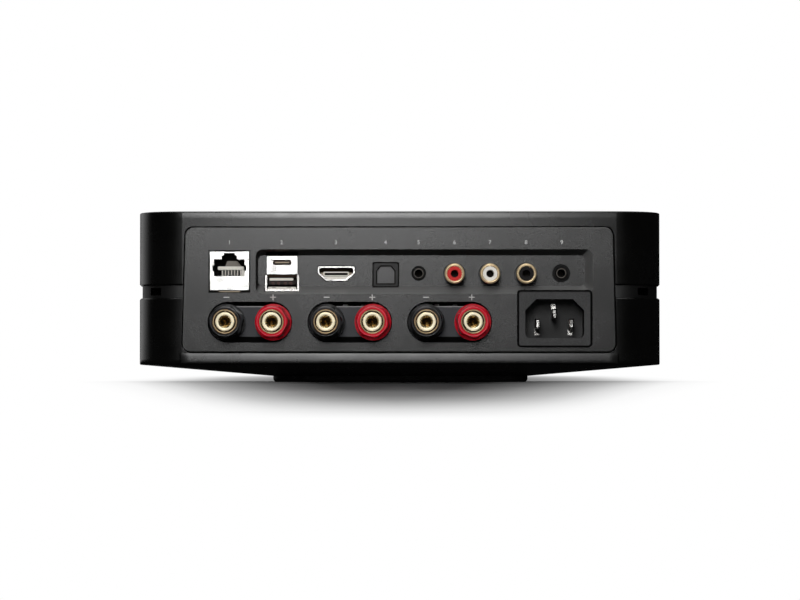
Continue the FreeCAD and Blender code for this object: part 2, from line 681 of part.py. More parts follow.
standoffs = [(x, y) for x in (-standoff_x, standoff_x)
             for y in (main_rear + d.standoff_rear, main_front - d.standoff_front)]
front_bosses = [(x, power_front - d.front_boss_inset) for x in (-standoff_x, standoff_x)]
screw_hole = d.screw_radius + d.screw_hole_gap
screw_bore = d.screw_radius + d.run_gap
supply_start = main_front + d.supply_start
supply_end = supply_start + d.transformer_depth
supply_x = column_x + d.column_radius + d.supply_room + d.transformer_width / 2
bridge_start = supply_start - d.winding_proud - d.bridge_gap - d.bridge_depth


def case_outline(inset):
    """The case's outline in plan, some way inside its sides."""
    return plan(d.case_width - 2 * inset, d.case_depth - 2 * inset, case_corner - inset)


def discs(places, radius):
    return [disc(x, y, radius) for x, y in places]


def panel_outline(grow):
    """The rear panel's tapered outline, grown by some amount on every side."""
    top = panel_half - d.panel_taper + grow
    low = panel_half + grow
    return polygon([(-low, panel_low - grow), (low, panel_low - grow),
                    (top, panel_high + grow), (-top, panel_high + grow)])


def panel_corner(bottom, grow):
    """A test for the upright panel corners of an opening or a plate, its lower or its upper pair."""
    level = panel_low - grow if bottom else panel_high + grow

    def test(edge):
        bounds = edge.BoundBox
        runs_in = near(bounds.XLength, 0) and near(bounds.ZLength, 0) and bounds.YMax < float(rear) / 2
        return runs_in and near(bounds.ZMin, level) and abs(bounds.XMin) > float(panel_half) / 2
    return test


# The case

def make_base_foot():
    foot = Piece("base_foot")
    foot.add("XY", 0, d.foot_height, plan(d.foot_width, d.foot_length, d.foot_corner))
    foot.round(d.foot_round, level_edge("Z", 0))


def make_bottom_cover():
    cover = Piece("bottom_cover")
    inner = case_outline(d.case_wall)
    outer = case_outline(0)
    foot = plan(d.foot_width, d.foot_length, d.foot_corner)
    cover.add("XY", d.skirt_height, d.waist_low, outer)
    cover.blend("Additive", "XY", d.foot_height, foot, d.skirt_height, outer)
    cover.round(d.skirt_round, level_edge("Z", d.skirt_height))
    cover.bevel(d.waist_chamfer, level_edge("Z", d.waist_low))
    cover.cut("XY", d.skirt_height + d.case_wall, d.waist_low, inner)
    floor = d.foot_height + d.case_wall
    cover.blend("Subtractive", "XY", floor, foot, d.skirt_height + d.case_wall, inner)
    cover.cut("XZ", rear, rear + 2 * d.case_wall, panel_outline(d.panel_gap))
    cover.round(d.panel_corner, panel_corner(True, d.panel_gap))
    cover.add("XY", d.foot_height, main_low, *discs(columns, d.column_radius))
    bosses = discs(standoffs + front_bosses, d.boss_radius)
    cover.add("XY", d.skirt_height, power_low, *bosses)
    cover.cut("XY", d.foot_height, d.foot_height + d.counterbore_depth,
              *discs(columns, d.screw_head_radius + d.fit_gap))
    cover.cut("XY", d.foot_height, main_low, *discs(columns, screw_hole))
    cover.cut("XY", power_low - d.boss_bore_depth - d.fit_gap, power_low,
              *discs(standoffs + front_bosses, screw_bore))


def make_waist_frame():
    """The recessed frame between the covers, with lips inside both and vent windows."""
    def ring(inset, wall):
        return [case_outline(edge) for edge in (inset, inset + wall)]

    frame = Piece("waist_frame")
    frame.add("XY", d.waist_low, waist_high, *ring(d.waist_inset, d.frame_wall))
    lip_inset = d.waist_inset + d.frame_wall - d.lip_wall
    frame.add("XY", d.waist_low - d.lip_height, waist_high + d.lip_height, *ring(lip_inset, d.lip_wall))
    wide = panel_half + d.panel_flange + d.panel_gap + d.fit_gap
    whole = (d.waist_low - d.lip_height, waist_high + d.lip_height)
    frame.cut("XZ", rear, rear + d.case_wall, panel_outline(d.panel_gap))
    frame.cut("XZ", rear + d.case_wall, rear + case_corner, box(-wide, wide, *whole))
    vent_far = side - d.corner_vent_inset
    vent_near = vent_far - d.corner_vent_width
    corner_vents = [box(vent_near, vent_far, vent_low, vent_high),
                    box(-vent_far, -vent_near, vent_low, vent_high)]
    frame.cut("XZ", rear, rear + case_corner, *corner_vents)
    first = -d.vent_pitch * (d.vent_count - 1) / 2
    first_vent = box(first - d.vent_width / 2, first + d.vent_width / 2, vent_low, vent_high)
    vents = [frame.cut("YZ", -side, -side + d.waist_inset + d.frame_wall, first_vent),
             frame.cut("YZ", side - d.waist_inset - d.frame_wall, side, first_vent)]
    for vent in vents:
        frame.repeat([vent], "Y_Axis", d.vent_pitch, d.vent_count)
    window_gap = d.window_half_width + d.fit_gap
    frame.cut("XZ", front - d.waist_inset - d.frame_wall, front,
              box(-window_gap, window_gap, vent_low, vent_high))


def make_top_cover():
    cover = Piece("top_cover")
    cover.add("XY", waist_high, d.case_height, case_outline(0))
    cover.round(d.top_round, level_edge("Z", d.case_height))
    cover.bevel(d.waist_chamfer, level_edge("Z", waist_high))
    cover.cut("XY", waist_high, ceiling, case_outline(d.case_wall))
    cover.cut("XZ", rear, rear + 2 * d.case_wall, panel_outline(d.panel_gap))
    cover.round(d.panel_corner, panel_corner(False, d.panel_gap))
    cover.cut("XY", d.case_height - d.touch_thick, d.case_height, touch_outline(d.touch_gap))
    cover.add("XY", main_top, ceiling, *discs(rear_columns, d.column_radius))
    cover.add("XY", main_low, ceiling, *discs(front_columns, d.column_radius))
    screw_end = d.foot_height + d.counterbore_depth + d.case_screw_length + d.fit_gap
    cover.cut("XY", main_low, screw_end, *discs(columns, screw_bore))


def make_case_screws():
    screws = Piece("case_screws")
    seat = d.foot_height + d.counterbore_depth
    screws.add("XY", seat - d.screw_head_height, seat, *discs(columns, d.screw_head_radius))
    screws.add("XY", seat, seat + d.case_screw_length, *discs(columns, d.screw_radius))


# Controls

def touch_outline(grow):
    """The touch panel's outline in the top, grown by some amount."""
    half = d.touch_width / 2 + grow
    far = front - d.touch_inset
    return round_box(-half, half, far - d.touch_depth - grow, far + grow, d.touch_corner + grow)


def make_controls():
    panel = Piece("touch_panel")
    panel.add("XY", d.case_height - d.touch_thick, d.case_height, touch_outline(0))
    board = Piece("touch_board")
    board.add("XY", ceiling - d.board_thick, ceiling, touch_outline(-d.touch_board_inset))
    window = Piece("ir_window")
    inner = front - d.waist_inset - d.frame_wall
    window.add("XZ", inner, front - d.waist_inset - d.window_sunk,
               box(-d.window_half_width, d.window_half_width,
                   vent_low + d.fit_gap, vent_high - d.fit_gap))
    reach = d.lip_height - d.front_board_edge
    behind = Piece("front_board")
    half = d.front_board_half_width
    behind.add("XZ", inner - d.board_thick, inner,
               box(-half, half, d.waist_low - reach, waist_high + reach))


# The rear panel

def bay_outline(depth_share, grow, radius):
    """The connector bay's outline, from its rim at share 0 to its floor at share 1."""
    return round_box(d.bay_left + d.bay_draft_left * depth_share - grow,
                     d.bay_right - d.bay_draft_right * depth_share + grow,
                     bay_low + d.bay_draft_low * depth_share - grow,
                     bay_high - d.bay_draft_high * depth_share + grow, radius)


def well_outlines(grow):
    """The outlines of the three wells for the speaker posts, grown by some amount."""
    return [stadium(x, well_z, well_length + 2 * grow, well_height + 2 * grow) for x in well_xs]


def inlet_outline(grow):
    """The outline of the inlet's flange, grown by some amount."""
    half_width = d.inlet_flange_width / 2 + grow
    half_height = d.inlet_flange_height / 2 + grow
    return round_box(d.inlet_x - half_width, d.inlet_x + half_width,
                     inlet_z - half_height, inlet_z + half_height, d.inlet_flange_corner + grow)


def centred(x, z, width, height, grow=0):
    """A rectangle round a point, grown by some amount."""
    return box(x - width / 2 - grow, x + width / 2 + grow, z - height / 2 - grow, z + height / 2 + grow)


def usb_c_box(grow):
    half = d.usb_width / 2 + grow
    return box(d.usb_x - half, d.usb_x + half, usb_c_low - grow, usb_top + grow)


def av_outline(wall, grow=0):
    """The D-shaped outline of the video socket, inside its wall or grown."""
    shift = wall - grow
    half = d.av_width / 2 - shift
    high = av_z + d.av_height / 2 - shift
    low = av_z - d.av_height / 2 + shift
    shoulder = high - d.av_side - d.av_top_cut + shift
    bevel = d.av_top_cut
    foot = half - d.av_foot
    x = d.av_x
    return polygon([(x - foot, low), (x + foot, low), (x + half, shoulder), (x + half, high - bevel),
                    (x + half - bevel, high), (x - half + bevel, high), (x - half, high - bevel),
                    (x - half, shoulder)])


def make_rear_panel():
    inlet_floor = rear + d.inlet_sunk + d.inlet_flange_thick
    panel = Piece("rear_panel")
    panel.add("XZ", rear, panel_back, panel_outline(0))
    panel.round(d.panel_corner, panel_corner(True, 0))
    panel.round(d.panel_corner, panel_corner(False, 0))
    panel.bevel(d.panel_bevel, level_edge("Y", rear))
    panel.add("XZ", flange_face, flange_back, panel_outline(d.panel_flange))
    panel.add("XZ", flange_face, bay_back, bay_outline(0, d.tub_wall, d.bay_corner + d.tub_wall))
    panel.add("XZ", flange_face, well_back, *well_outlines(d.tub_wall))
    panel.add("XZ", flange_face, inlet_floor + d.tub_wall, inlet_outline(d.inlet_gap + d.tub_wall))
    panel.blend("Subtractive", "XZ", rear, bay_outline(0, 0, d.bay_corner), bay_floor,
                bay_outline(1, 0, d.bay_floor_corner))
    panel.cut("XZ", rear, well_back, *well_outlines(0))
    panel.cut("XZ", rear, inlet_floor, inlet_outline(d.inlet_gap))
    network_z = main_top + d.network_height / 2
    panel.cut("XZ", rear, bay_back,
              centred(d.network_x, network_z, d.network_width, d.network_height, d.socket_gap),
              centred(d.inlet_x, inlet_z, d.inlet_body_width, d.inlet_body_height, d.fit_gap))
    panel.cut("XZ", rear, bay_back,
              av_outline(0, d.socket_gap),
              centred(d.optical_x, optical_z, d.optical_width, d.optical_height, d.socket_gap),
              disc(d.jack_x, jack_z, d.jack_nose + d.jack_hole_gap),
              disc(d.remote_x, jack_z, d.remote_nose + d.jack_hole_gap),
              *[disc(x, phono_z, d.phono_hole) for x in phono_xs])
    panel.cut("XZ", rear, bay_back, usb_c_box(d.socket_gap))
    panel.cut("XZ", rear, bay_back, centred(d.usb_x, usb_a_z, d.usb_a_width, d.usb_a_height,
                                            d.usb_a_flare + d.socket_gap))


# Mains inlet

def make_mains_inlet():
    face = rear + d.inlet_sunk
    shoulder = face + d.inlet_flange_thick
    back = shoulder + d.inlet_body_depth - d.inlet_flange_thick
    left = d.inlet_x - d.inlet_cavity_width / 2
    right = d.inlet_x + d.inlet_cavity_width / 2
    low = inlet_z - d.inlet_cavity_height / 2
    high = inlet_z + d.inlet_cavity_height / 2
    bevel = d.inlet_cavity_chamfer
    inlet = Piece("mains_inlet")
    inlet.add("XZ", face, shoulder, inlet_outline(0))
    inlet.add("XZ", shoulder, back, centred(d.inlet_x, inlet_z, d.inlet_body_width, d.inlet_body_height))
    inlet.add("XZ", power_rear, back,
              box(d.inlet_x - d.inlet_body_width / 2, d.inlet_x + d.inlet_body_width / 2,
                  power_top, inlet_z))
    inlet.cut("XZ", face, face + d.inlet_cavity_depth,
              polygon([(left, low), (right, low), (right, high - bevel), (right - bevel, high),
                       (left + bevel, high), (left, high - bevel)]))

    def lower_corner(edge):
        bounds = edge.BoundBox
        runs_in = near(bounds.XLength, 0) and near(bounds.ZLength, 0) and near(bounds.ZMin, low)
        return runs_in and (near(bounds.XMin, left) or near(bounds.XMin, right))

    inlet.round(d.inlet_cavity_round, lower_corner)
    outer_xs = [d.inlet_x - d.blade_spread, d.inlet_x + d.blade_spread]
    outer_z = inlet_z - d.blade_drop
    earth_z = inlet_z + d.blade_rise
    places = [(x, outer_z) for x in outer_xs] + [(d.inlet_x, earth_z)]
    inlet.cut("XZ", face + d.inlet_cavity_depth, back,
              *[centred(x, z, d.blade_width, d.blade_height, d.run_gap) for x, z in places])
    pins = Piece("mains_pins")
    tip = face + d.blade_sunk
    pins.add("XZ", tip, back + d.blade_tail,
             *[centred(x, z, d.blade_width, d.blade_height) for x, z in places])
    pins.bevel(d.blade_tip, level_edge("Y", tip))
    cavity_end = face + d.inlet_cavity_depth
    reach = (d.blade_height + d.blade_step) / 2
    steps = [(x, outer_z - reach) for x in outer_xs] + [(d.inlet_x, earth_z + reach)]
    pins.add("XZ", cavity_end - d.blade_step_length, cavity_end,
             *[centred(x, z, d.blade_width, d.blade_step) for x, z in steps])


# Speaker terminals

def make_terminal_block(number, x):
    """A moulded block in a well, which carries one pair of posts and stands on the power board."""
    length = well_length - 2 * d.block_inset
    height = well_height - 2 * d.block_inset
    back = power_rear + d.block_depth
    block = Piece(f"terminal_block_{number}")
    block.add("XZ", block_face, back, stadium(x, well_z, length, height))
    block.bevel(d.block_bevel, level_edge("Y", block_face))
    block.add("XZ", power_rear, back,
              box(x - length / 2, x + length / 2, power_top, well_z + height / 2))
    holes = [(x - d.post_spacing / 2, well_z), (x + d.post_spacing / 2, well_z)]
    block.cut("XZ", block_face, power_rear + d.post_shoulder, *discs(holes, d.post_radius + d.run_gap))
    block.cut("XZ", power_rear + d.post_shoulder, back, *discs(holes, d.post_root_radius + d.run_gap))


def make_speaker_posts():
    """Six gold-plated posts, bored for plugs and cross-drilled for wire."""
    places = [(x, well_z) for x in post_xs]
    tip = rear - d.post_front
    posts = Piece("speaker_posts")
    posts.add("XZ", tip, power_rear + d.post_shoulder, *discs(places, d.post_radius))
    posts.add("XZ", power_rear + d.post_shoulder, power_rear + d.block_depth + d.post_tail,
              *discs(places, d.post_root_radius))
    posts.cut("XZ", tip, tip + d.plug_bore_depth, *discs(places, d.plug_bore_radius))
    posts.bevel(d.plug_mouth, circle_edge(tip, d.plug_bore_radius))
    wire_y = block_face - d.wire_hole_seat
    reach = d.post_radius + d.run_gap
    posts.cut("XY", well_z - reach, well_z + reach,
              *[disc(x, wire_y, d.wire_hole_radius) for x in post_xs])


def make_cap(number, x, angle):
    """A screw cap: a turned grip with six tapering flats, on a brass insert that runs on the post.

    Both are drawn round the Y axis, with the cap's rear end at level 0 and its front towards -Y.
    """
    tip = -d.cap_length
    collar = -d.cap_collar_length
    seat = block_face - d.cap_clearance
    bore = d.insert_radius + d.run_gap
    cap = Piece(f"terminal_cap_{number}")
    cap.turn(polygon([(bore, tip), (d.cap_front_radius, tip), (d.cap_grip_radius, collar),
                      (d.cap_collar_radius, collar), (d.cap_collar_radius, as_size(0)), (bore, as_size(0))]))
    cap.round(d.cap_front_round, circle_edge(tip, d.cap_front_radius))
    beyond = d.cap_collar_radius + CUT_MARGIN
    flat = cap.cut("XY", -beyond, beyond,
                   polygon([(d.cap_flat_front, tip), (beyond, tip), (beyond, collar),
                            (d.cap_flat_base, collar)]))
    cap.turn_round([flat], "Y_Axis", 6)
    cap.place(x, seat, well_z, angle)
    insert = Piece(f"cap_insert_{number}")
    start = tip + d.insert_sunk
    inner = d.post_radius + d.run_gap
    end = start + d.insert_length
    insert.turn(polygon([(inner, start), (d.insert_radius, start), (d.insert_radius, end), (inner, end)]))
    insert.place(x, seat, well_z)


# Sockets on the main board

def make_network_socket():
    x = d.network_x
    face = rear - d.network_proud
    back = face + d.network_depth
    top = main_top + d.network_height
    wall = d.network_wall
    half = d.network_width / 2
    low = main_top + d.network_mouth_low
    key = low + d.network_mouth_height
    slot = key + d.network_key_height
    high = slot + d.network_slot_height
    notch = low + d.network_notch_low
    notch_top = notch + d.network_notch_height
    steps = [(d.network_mouth_width, low), (d.network_mouth_width, notch),
             (d.network_notch_width, notch), (d.network_notch_width, notch_top),
             (d.network_mouth_width, notch_top), (d.network_mouth_width, key),
             (d.network_key_width, key), (d.network_key_width, slot),
             (d.network_slot_width, slot), (d.network_slot_width, high)]
    right = [(x + width / 2, z) for width, z in steps]
    left = [(x - width / 2, z) for width, z in reversed(steps)]
    mouth = polygon(right + left)
    shell = Piece("network_shell")
    shell.add("XZ", face, back, box(x - half, x + half, main_top, top))
    shell.cut("XZ", face + wall, back, box(x - half + wall, x + half - wall, main_top + wall, top - wall))
    shell.cut("XZ", face, face + wall, mouth)
    inner = half - wall - d.fit_gap
    insert = Piece("network_insert")
    insert.add("XZ", face + wall, back,
               box(x - inner, x + inner, main_top + wall, top - wall - d.fit_gap))
    insert.cut("XZ", face + wall, face + d.network_plug_depth, mouth)
    contacts = Piece("network_contacts")
    strip = x - d.contact_pitch * (d.contact_count - 1) / 2
    wedge = polygon([(face + d.contact_setback, low), (face + d.network_plug_depth, low),
                     (face + d.network_plug_depth, low + d.contact_height)])
    contact = contacts.add("YZ", strip - d.contact_width / 2, strip + d.contact_width / 2, wedge)
    contacts.repeat([contact], "X_Axis", d.contact_pitch, d.contact_count)


def make_usb_stack():
    x = d.usb_x
    half = d.usb_width / 2
    c_face = bay_floor - d.usb_c_proud
    a_face = bay_floor - d.usb_a_proud
    a_back = bay_floor + d.usb_a_depth
    back = bay_back + d.board_setback + d.usb_depth
    c_middle = (usb_c_low + usb_top) / 2
    stack = Piece("usb_stack")
    stack.add("XZ", c_face, back, usb_c_box(0))
    stack.add("XZ", a_back, back, box(x - half, x + half, main_top, usb_top))
    stack.cut("XZ", c_face, c_face + d.usb_c_mouth_depth,
              stadium(x, c_middle, d.usb_c_mouth_width, d.usb_c_mouth_height))
    shell = Piece("usb_a_shell")
    wall = d.usb_a_wall
    shell.add("XZ", a_face, a_back, centred(x, usb_a_z, d.usb_a_width, d.usb_a_height),
              centred(x, usb_a_z, d.usb_a_width, d.usb_a_height, -wall))
    shell.add("XZ", a_face, a_face + d.usb_a_rim,
              centred(x, usb_a_z, d.usb_a_width, d.usb_a_height, d.usb_a_flare),
              centred(x, usb_a_z, d.usb_a_width, d.usb_a_height, -wall))
    tongues = Piece("usb_tongues")
    tongues.add("XZ", a_face + d.usb_a_rim, a_back,
                centred(x, usb_a_z + d.usb_a_tongue_low, d.usb_a_tongue_width, d.usb_a_tongue_height))
    tongues.add("XZ", c_face + d.usb_c_proud, c_face + d.usb_c_mouth_depth,
                centred(x, c_middle, d.usb_c_tongue_width, d.usb_c_tongue_height))


def make_av_socket():
    x = d.av_x
    face = bay_floor - d.av_proud
    back = bay_floor + d.av_depth
    half = d.av_width / 2
    shell = Piece("av_shell")
    shell.add("XZ", face, back, av_outline(as_size(0)), av_outline(d.av_wall))
    riser = Piece("av_insulator")
    riser.add("XZ", back, back + d.av_riser_depth, box(x - half, x + half, main_top, av_z + d.av_height / 2))
    riser.add("XZ", face + d.av_tongue_setback, back,
              centred(x, av_z - d.av_tongue_low, d.av_tongue_width, d.av_tongue_height))


def make_optical_socket():
    x = d.optical_x
    half = d.optical_width / 2
    low = optical_z - d.optical_height / 2
    high = optical_z + d.optical_height / 2
    face = bay_floor - d.optical_proud
    room = face + d.optical_face
    back = bay_floor + d.optical_depth
    mouth_half = d.optical_mouth_width / 2
    mouth_low = optical_z - d.optical_mouth_height / 2
    mouth_high = optical_z + d.optical_mouth_height / 2
    bevel = d.optical_mouth_cut
    room_half = d.optical_room_width / 2
    room_low = optical_z - d.optical_room_height / 2
    room_high = optical_z + d.optical_room_height / 2
    axis_y = room + d.fit_gap + d.shutter_axle
    axis_z = room_high - d.fit_gap - d.shutter_axle

    socket = Piece("optical_socket")
    socket.add("XZ", face, back, box(x - half, x + half, low, high))
    socket.add("XZ", bay_back + d.board_setback, back, box(x - half, x + half, main_top, high))
    socket.cut("XZ", face, room,
               polygon([(x - mouth_half, mouth_low), (x + mouth_half, mouth_low),
                        (x + mouth_half, mouth_high - bevel), (x + mouth_half - bevel, mouth_high),
                        (x - mouth_half + bevel, mouth_high), (x - mouth_half, mouth_high - bevel)]))
    socket.cut("XZ", room, room + d.optical_room_depth,
               box(x - room_half, x + room_half, room_low, room_high))
    pin_reach = d.shutter_width / 2 + d.shutter_pin_length
    socket.cut("YZ", x - pin_reach, x + pin_reach, disc(axis_y, axis_z, d.shutter_pin + d.run_gap))

    shutter = Piece("optical_shutter")
    shutter_half = d.shutter_width / 2
    plate = room + d.fit_gap
    shutter_low = mouth_low - d.fit_gap
    shutter.add("XZ", plate, plate + d.shutter_thick,
                box(x - shutter_half, x + shutter_half, shutter_low, axis_z))
    shutter.add("YZ", x - shutter_half, x + shutter_half, disc(axis_y, axis_z, d.shutter_axle))
    pin_end = pin_reach - d.run_gap
    shutter.add("YZ", x - pin_end, x + pin_end, disc(axis_y, axis_z, d.shutter_pin))
    shutter.add("XZ", plate - d.lens_rise, plate, centred(x, optical_z, d.lens_width, d.lens_height))


def make_jacks():
    """The two small jacks: housings on the board, noses through the bay's floor, contacts inside."""
    front_of_box = bay_back + d.board_setback
    contacts = Piece("jack_contacts")
    low = bay_floor + d.jack_bore_depth
    for label, x, nose in (("mini_jack", d.jack_x, d.jack_nose), ("remote_jack", d.remote_x, d.remote_nose)):
        jack = Piece(label)
        jack.add("XZ", front_of_box, front_of_box + d.jack_depth,
                 box(x - d.jack_width / 2, x + d.jack_width / 2, main_top, main_top + d.jack_height))
        jack.add("XZ", bay_floor, front_of_box, disc(x, jack_z, nose))
        jack.cut("XZ", bay_floor, low, disc(x, jack_z, d.jack_bore))
        jack.cut("XZ", low, low + d.jack_spring_length, disc(x, jack_z, d.jack_spring_radius + d.run_gap))
        contacts.add("XZ", low, low + d.jack_spring_length, disc(x, jack_z, d.jack_spring_radius))


def make_phono_sockets():
    block_face = bay_back + d.board_setback
    tip = bay_floor - d.phono_length
    places = [(x, phono_z) for x in phono_xs]
    block = Piece("phono_block")
    block.add("XZ", block_face, block_face + d.phono_block_depth,
              box(phono_xs[0] - d.phono_block_margin, phono_xs[-1] + d.phono_block_margin,
                  main_top, main_top + d.phono_block_height))
    barrels = Piece("phono_barrels")
    barrels.add("XZ", tip, block_face, *discs(places, d.phono_radius), *discs(places, d.phono_inner))
    barrels.bevel(d.phono_edge, circle_edge(tip, d.phono_radius))
    contacts = Piece("phono_contacts")
    contacts.add("XZ", block_face - d.phono_contact_length, block_face,
                 *discs(places, d.phono_pin_bore - d.run_gap))
    for colour, x in zip(("red", "white", "black"), phono_xs):
        insulator = Piece(f"phono_insulator_{colour}")
        insulator.add("XZ", tip + d.phono_insulator_sunk, block_face,
                      disc(x, phono_z, d.phono_inner - d.run_gap), disc(x, phono_z, d.phono_pin_bore))


# Boards and what they carry

def make_boards():
    half = d.board_half_width
    main = Piece("main_board")
    main.add("XY", main_low, main_top, box(-half, half, main_rear, main_front),
             *discs(rear_columns + standoffs, screw_hole))
    power = Piece("power_board")
    power.add("XY", power_low, power_top, box(-half, half, power_rear, power_front),
              *discs(columns, d.column_radius + d.column_room), *discs(standoffs + front_bosses, screw_hole))


def make_board_fasteners():
    def hexagon(x, y):
        corner = d.standoff_flat * (1 / math.cos(math.pi / 6))
        turns = [math.pi / 3 * number for number in range(6)]
        return polygon([(x + corner * math.cos(turn), y + corner * math.sin(turn)) for turn in turns])

    spacers = Piece("board_standoffs")
    spacers.add("XY", power_top, main_low, *[hexagon(x, y) for x, y in standoffs])
    spacers.add("XY", power_low - d.standoff_stud + d.board_thick, power_top,
                *discs(standoffs, d.screw_radius))
    spacers.cut("XY", main_low - d.short_screw_length, main_low, *discs(standoffs, screw_bore))
    screws = Piece("board_screws")
    screws.add("XY", main_top, main_top + d.screw_head_height, *discs(standoffs, d.screw_head_radius))
    screws.add("XY", main_top + d.fit_gap - d.short_screw_length, main_top,
               *discs(standoffs, d.screw_radius))
    screws.add("XY", power_top, power_top + d.screw_head_height, *discs(front_bosses, d.screw_head_radius))
    screws.add("XY", power_top + d.fit_gap - d.short_screw_length, power_top,
               *discs(front_bosses, d.screw_radius))


def make_heat_sink():
    start = rear + d.sink_start
    end = start + d.sink_depth
    low = power_top + d.chip_height
    base = low + d.sink_base
    half = column_x - d.column_radius - d.sink_room
    sink = Piece("heat_sink")
    sink.add("XY", low, base, box(-half, half, start, end))
    fin = sink.add("XY", base, base + d.fin_height, box(-half, -half + d.fin_thick, start, end))
    sink.repeat([fin], "X_Axis", (2 * half - d.fin_thick) / (d.fin_count - 1), d.fin_count)


def make_power_parts():
    """The amplifier chips under the heat sink, the mains choke and the rectifier."""
    parts = Piece("power_parts")
    chips_y = rear + d.chip_start
    chips = [centred(d.chip_spread * place, chips_y, d.chip_side, d.chip_side) for place in (-1, 0, 1)]
    parts.add("XY", power_top, power_top + d.chip_height, *chips)
    parts.add("XY", power_top, power_top + d.choke_height,
              box(d.inlet_x - d.choke_width / 2, d.inlet_x + d.choke_width / 2,
                  rear + d.choke_start, rear + d.choke_start + d.choke_depth))
    parts.add("XY", power_top, power_top + d.bridge_height,
              box(d.inlet_x - d.bridge_width / 2, d.inlet_x + d.bridge_width / 2,
                  bridge_start, bridge_start + d.bridge_depth))


def make_supply():
    half = d.transformer_width / 2
    top = power_top + d.transformer_height
    transformer = Piece("power_transformer")
    transformer.add("XY", power_top, top, box(supply_x - half, supply_x + half, supply_start, supply_end))
    winding_low = power_top + (d.transformer_height - d.winding_height) / 2
    transformer.add("YZ", supply_x - half + d.core_leg, supply_x + half - d.core_leg,
                    box(supply_start - d.winding_proud, supply_end + d.winding_proud,
                        winding_low, winding_low + d.winding_height))
    capacitors = Piece("bulk_capacitors")
    x = column_x + d.column_radius + d.capacitor_gap + d.capacitor_radius
    first = supply_end + d.winding_proud + d.capacitor_gap + d.capacitor_radius
    places = [(x, first), (x, first + 2 * d.capacitor_radius + d.capacitor_gap)]
    capacitors.add("XY", power_top, power_top + d.capacitor_height, *discs(places, d.capacitor_radius))
    capacitors.round(d.capacitor_round, level_edge("Z", power_top + d.capacitor_height))
    inductors = Piece("output_inductors")
    inductors.add("XY", power_top, power_top + d.inductor_height,
                  *[disc(x, rear + d.inductor_start, d.inductor_radius) for x in post_xs])


def make_main_parts():
    link = Piece("board_connector")
    link_y = bridge_start - d.link_gap - d.link_depth
    link.add("XY", power_top, main_low,
             box(supply_x - d.link_width / 2, supply_x + d.link_width / 2,
                 link_y, link_y + d.link_depth))
    chips = Piece("board_chips")
    can_y = rear + d.can_start
    chips.add("XY", main_top, main_top + d.can_height,
              box(-d.can_width / 2, d.can_width / 2, can_y, can_y + d.can_depth))
    middle = can_y + d.can_depth / 2
    chips.add("XY", main_top, main_top + d.package_height,
              centred(-d.package_spread, middle, d.package_side, d.package_side),
              centred(d.package_spread, middle, d.package_side, d.package_side))
    antennas = Piece("radio_antennas")
    wall = side - d.case_wall
    half = d.antenna_length / 2
    low = waist_high + d.lip_height + d.antenna_gap
    for inner, outer in ((-wall, -wall + d.antenna_thick), (wall - d.antenna_thick, wall)):
        antennas.add("YZ", inner, outer, box(-half, half, low, low + d.antenna_height))


# How far each cap has come to rest turned, in degrees, from left to right.
CAP_ANGLES = [-50, -30, -40, -15, -50, -10]

make_base_foot()
make_bottom_cover()
make_waist_frame()
make_top_cover()
make_case_screws()
make_controls()
make_rear_panel()
make_mains_inlet()
for number, x in enumerate(well_xs, 1):
    make_terminal_block(number, x)
make_speaker_posts()
for number, (x, angle) in enumerate(zip(post_xs, CAP_ANGLES), 1):
    make_cap(number, x, angle)
make_network_socket()
make_usb_stack()
make_av_socket()
make_optical_socket()
make_jacks()
make_phono_sockets()
make_boards()
make_board_fasteners()
make_heat_sink()
make_power_parts()
make_supply()
make_main_parts()
doc.recompute()

for item in doc.Objects:
    if "Invalid" in item.State or "Error" in item.State:
        raise RuntimeError(f"{item.Name} failed: {item.State}")
    cuts = ("PartDesign::Pocket", "PartDesign::SubtractiveLoft")
    if item.TypeId in cuts and item.Shape.Volume > item.BaseFeature.Shape.Volume - 0.001:
        raise RuntimeError(f"{item.Name} cuts nothing")
for piece in Piece.made:
    shape = piece.body.Shape
    if shape.isNull() or not shape.isValid():
        raise RuntimeError(f"{piece.body.Label} has no valid shape")

os.makedirs("parts", exist_ok=True)
for piece in Piece.made:
    piece.body.Shape.exportStep(f"parts/{piece.body.Label}.step")
print(len(Piece.made), "sub-parts written")
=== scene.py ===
"""Streaming amplifier from behind: camera, finishes, marks, the sockets' small parts, floor and light.

Lengths are in mm unless a line says otherwise, and MM turns them into metres.
"""
import math

import bmesh
import bpy
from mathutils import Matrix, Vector


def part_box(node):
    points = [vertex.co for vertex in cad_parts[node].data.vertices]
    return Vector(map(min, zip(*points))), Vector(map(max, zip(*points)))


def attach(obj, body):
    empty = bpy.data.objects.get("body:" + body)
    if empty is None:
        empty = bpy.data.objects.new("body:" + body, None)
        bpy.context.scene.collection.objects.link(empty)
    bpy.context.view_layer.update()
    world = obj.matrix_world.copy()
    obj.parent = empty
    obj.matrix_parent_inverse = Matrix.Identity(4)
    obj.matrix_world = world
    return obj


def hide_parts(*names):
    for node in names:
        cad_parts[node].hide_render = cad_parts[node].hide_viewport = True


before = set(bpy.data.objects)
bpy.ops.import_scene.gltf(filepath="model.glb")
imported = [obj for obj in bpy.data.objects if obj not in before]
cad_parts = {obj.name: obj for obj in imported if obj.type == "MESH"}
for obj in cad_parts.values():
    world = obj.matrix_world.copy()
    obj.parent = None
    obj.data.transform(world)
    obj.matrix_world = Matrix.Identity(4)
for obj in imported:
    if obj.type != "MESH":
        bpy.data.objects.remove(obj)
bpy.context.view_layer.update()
scene = bpy.context.scene
MM = 0.001


# Camera, as the photograph was taken: straight from behind, at the height of the table. Its turn is in
# degrees, and what it clips is in m.

CAMERA_PLACE = (12.6, -1439.5, 0.0)
CAMERA_TURN = (91.433, 0.0, 0.52)
CAMERA_LENS = 147.5
SENSOR_WIDTH = 36.0
CLIP_NEAR = 0.01
CLIP_FAR = 50.0

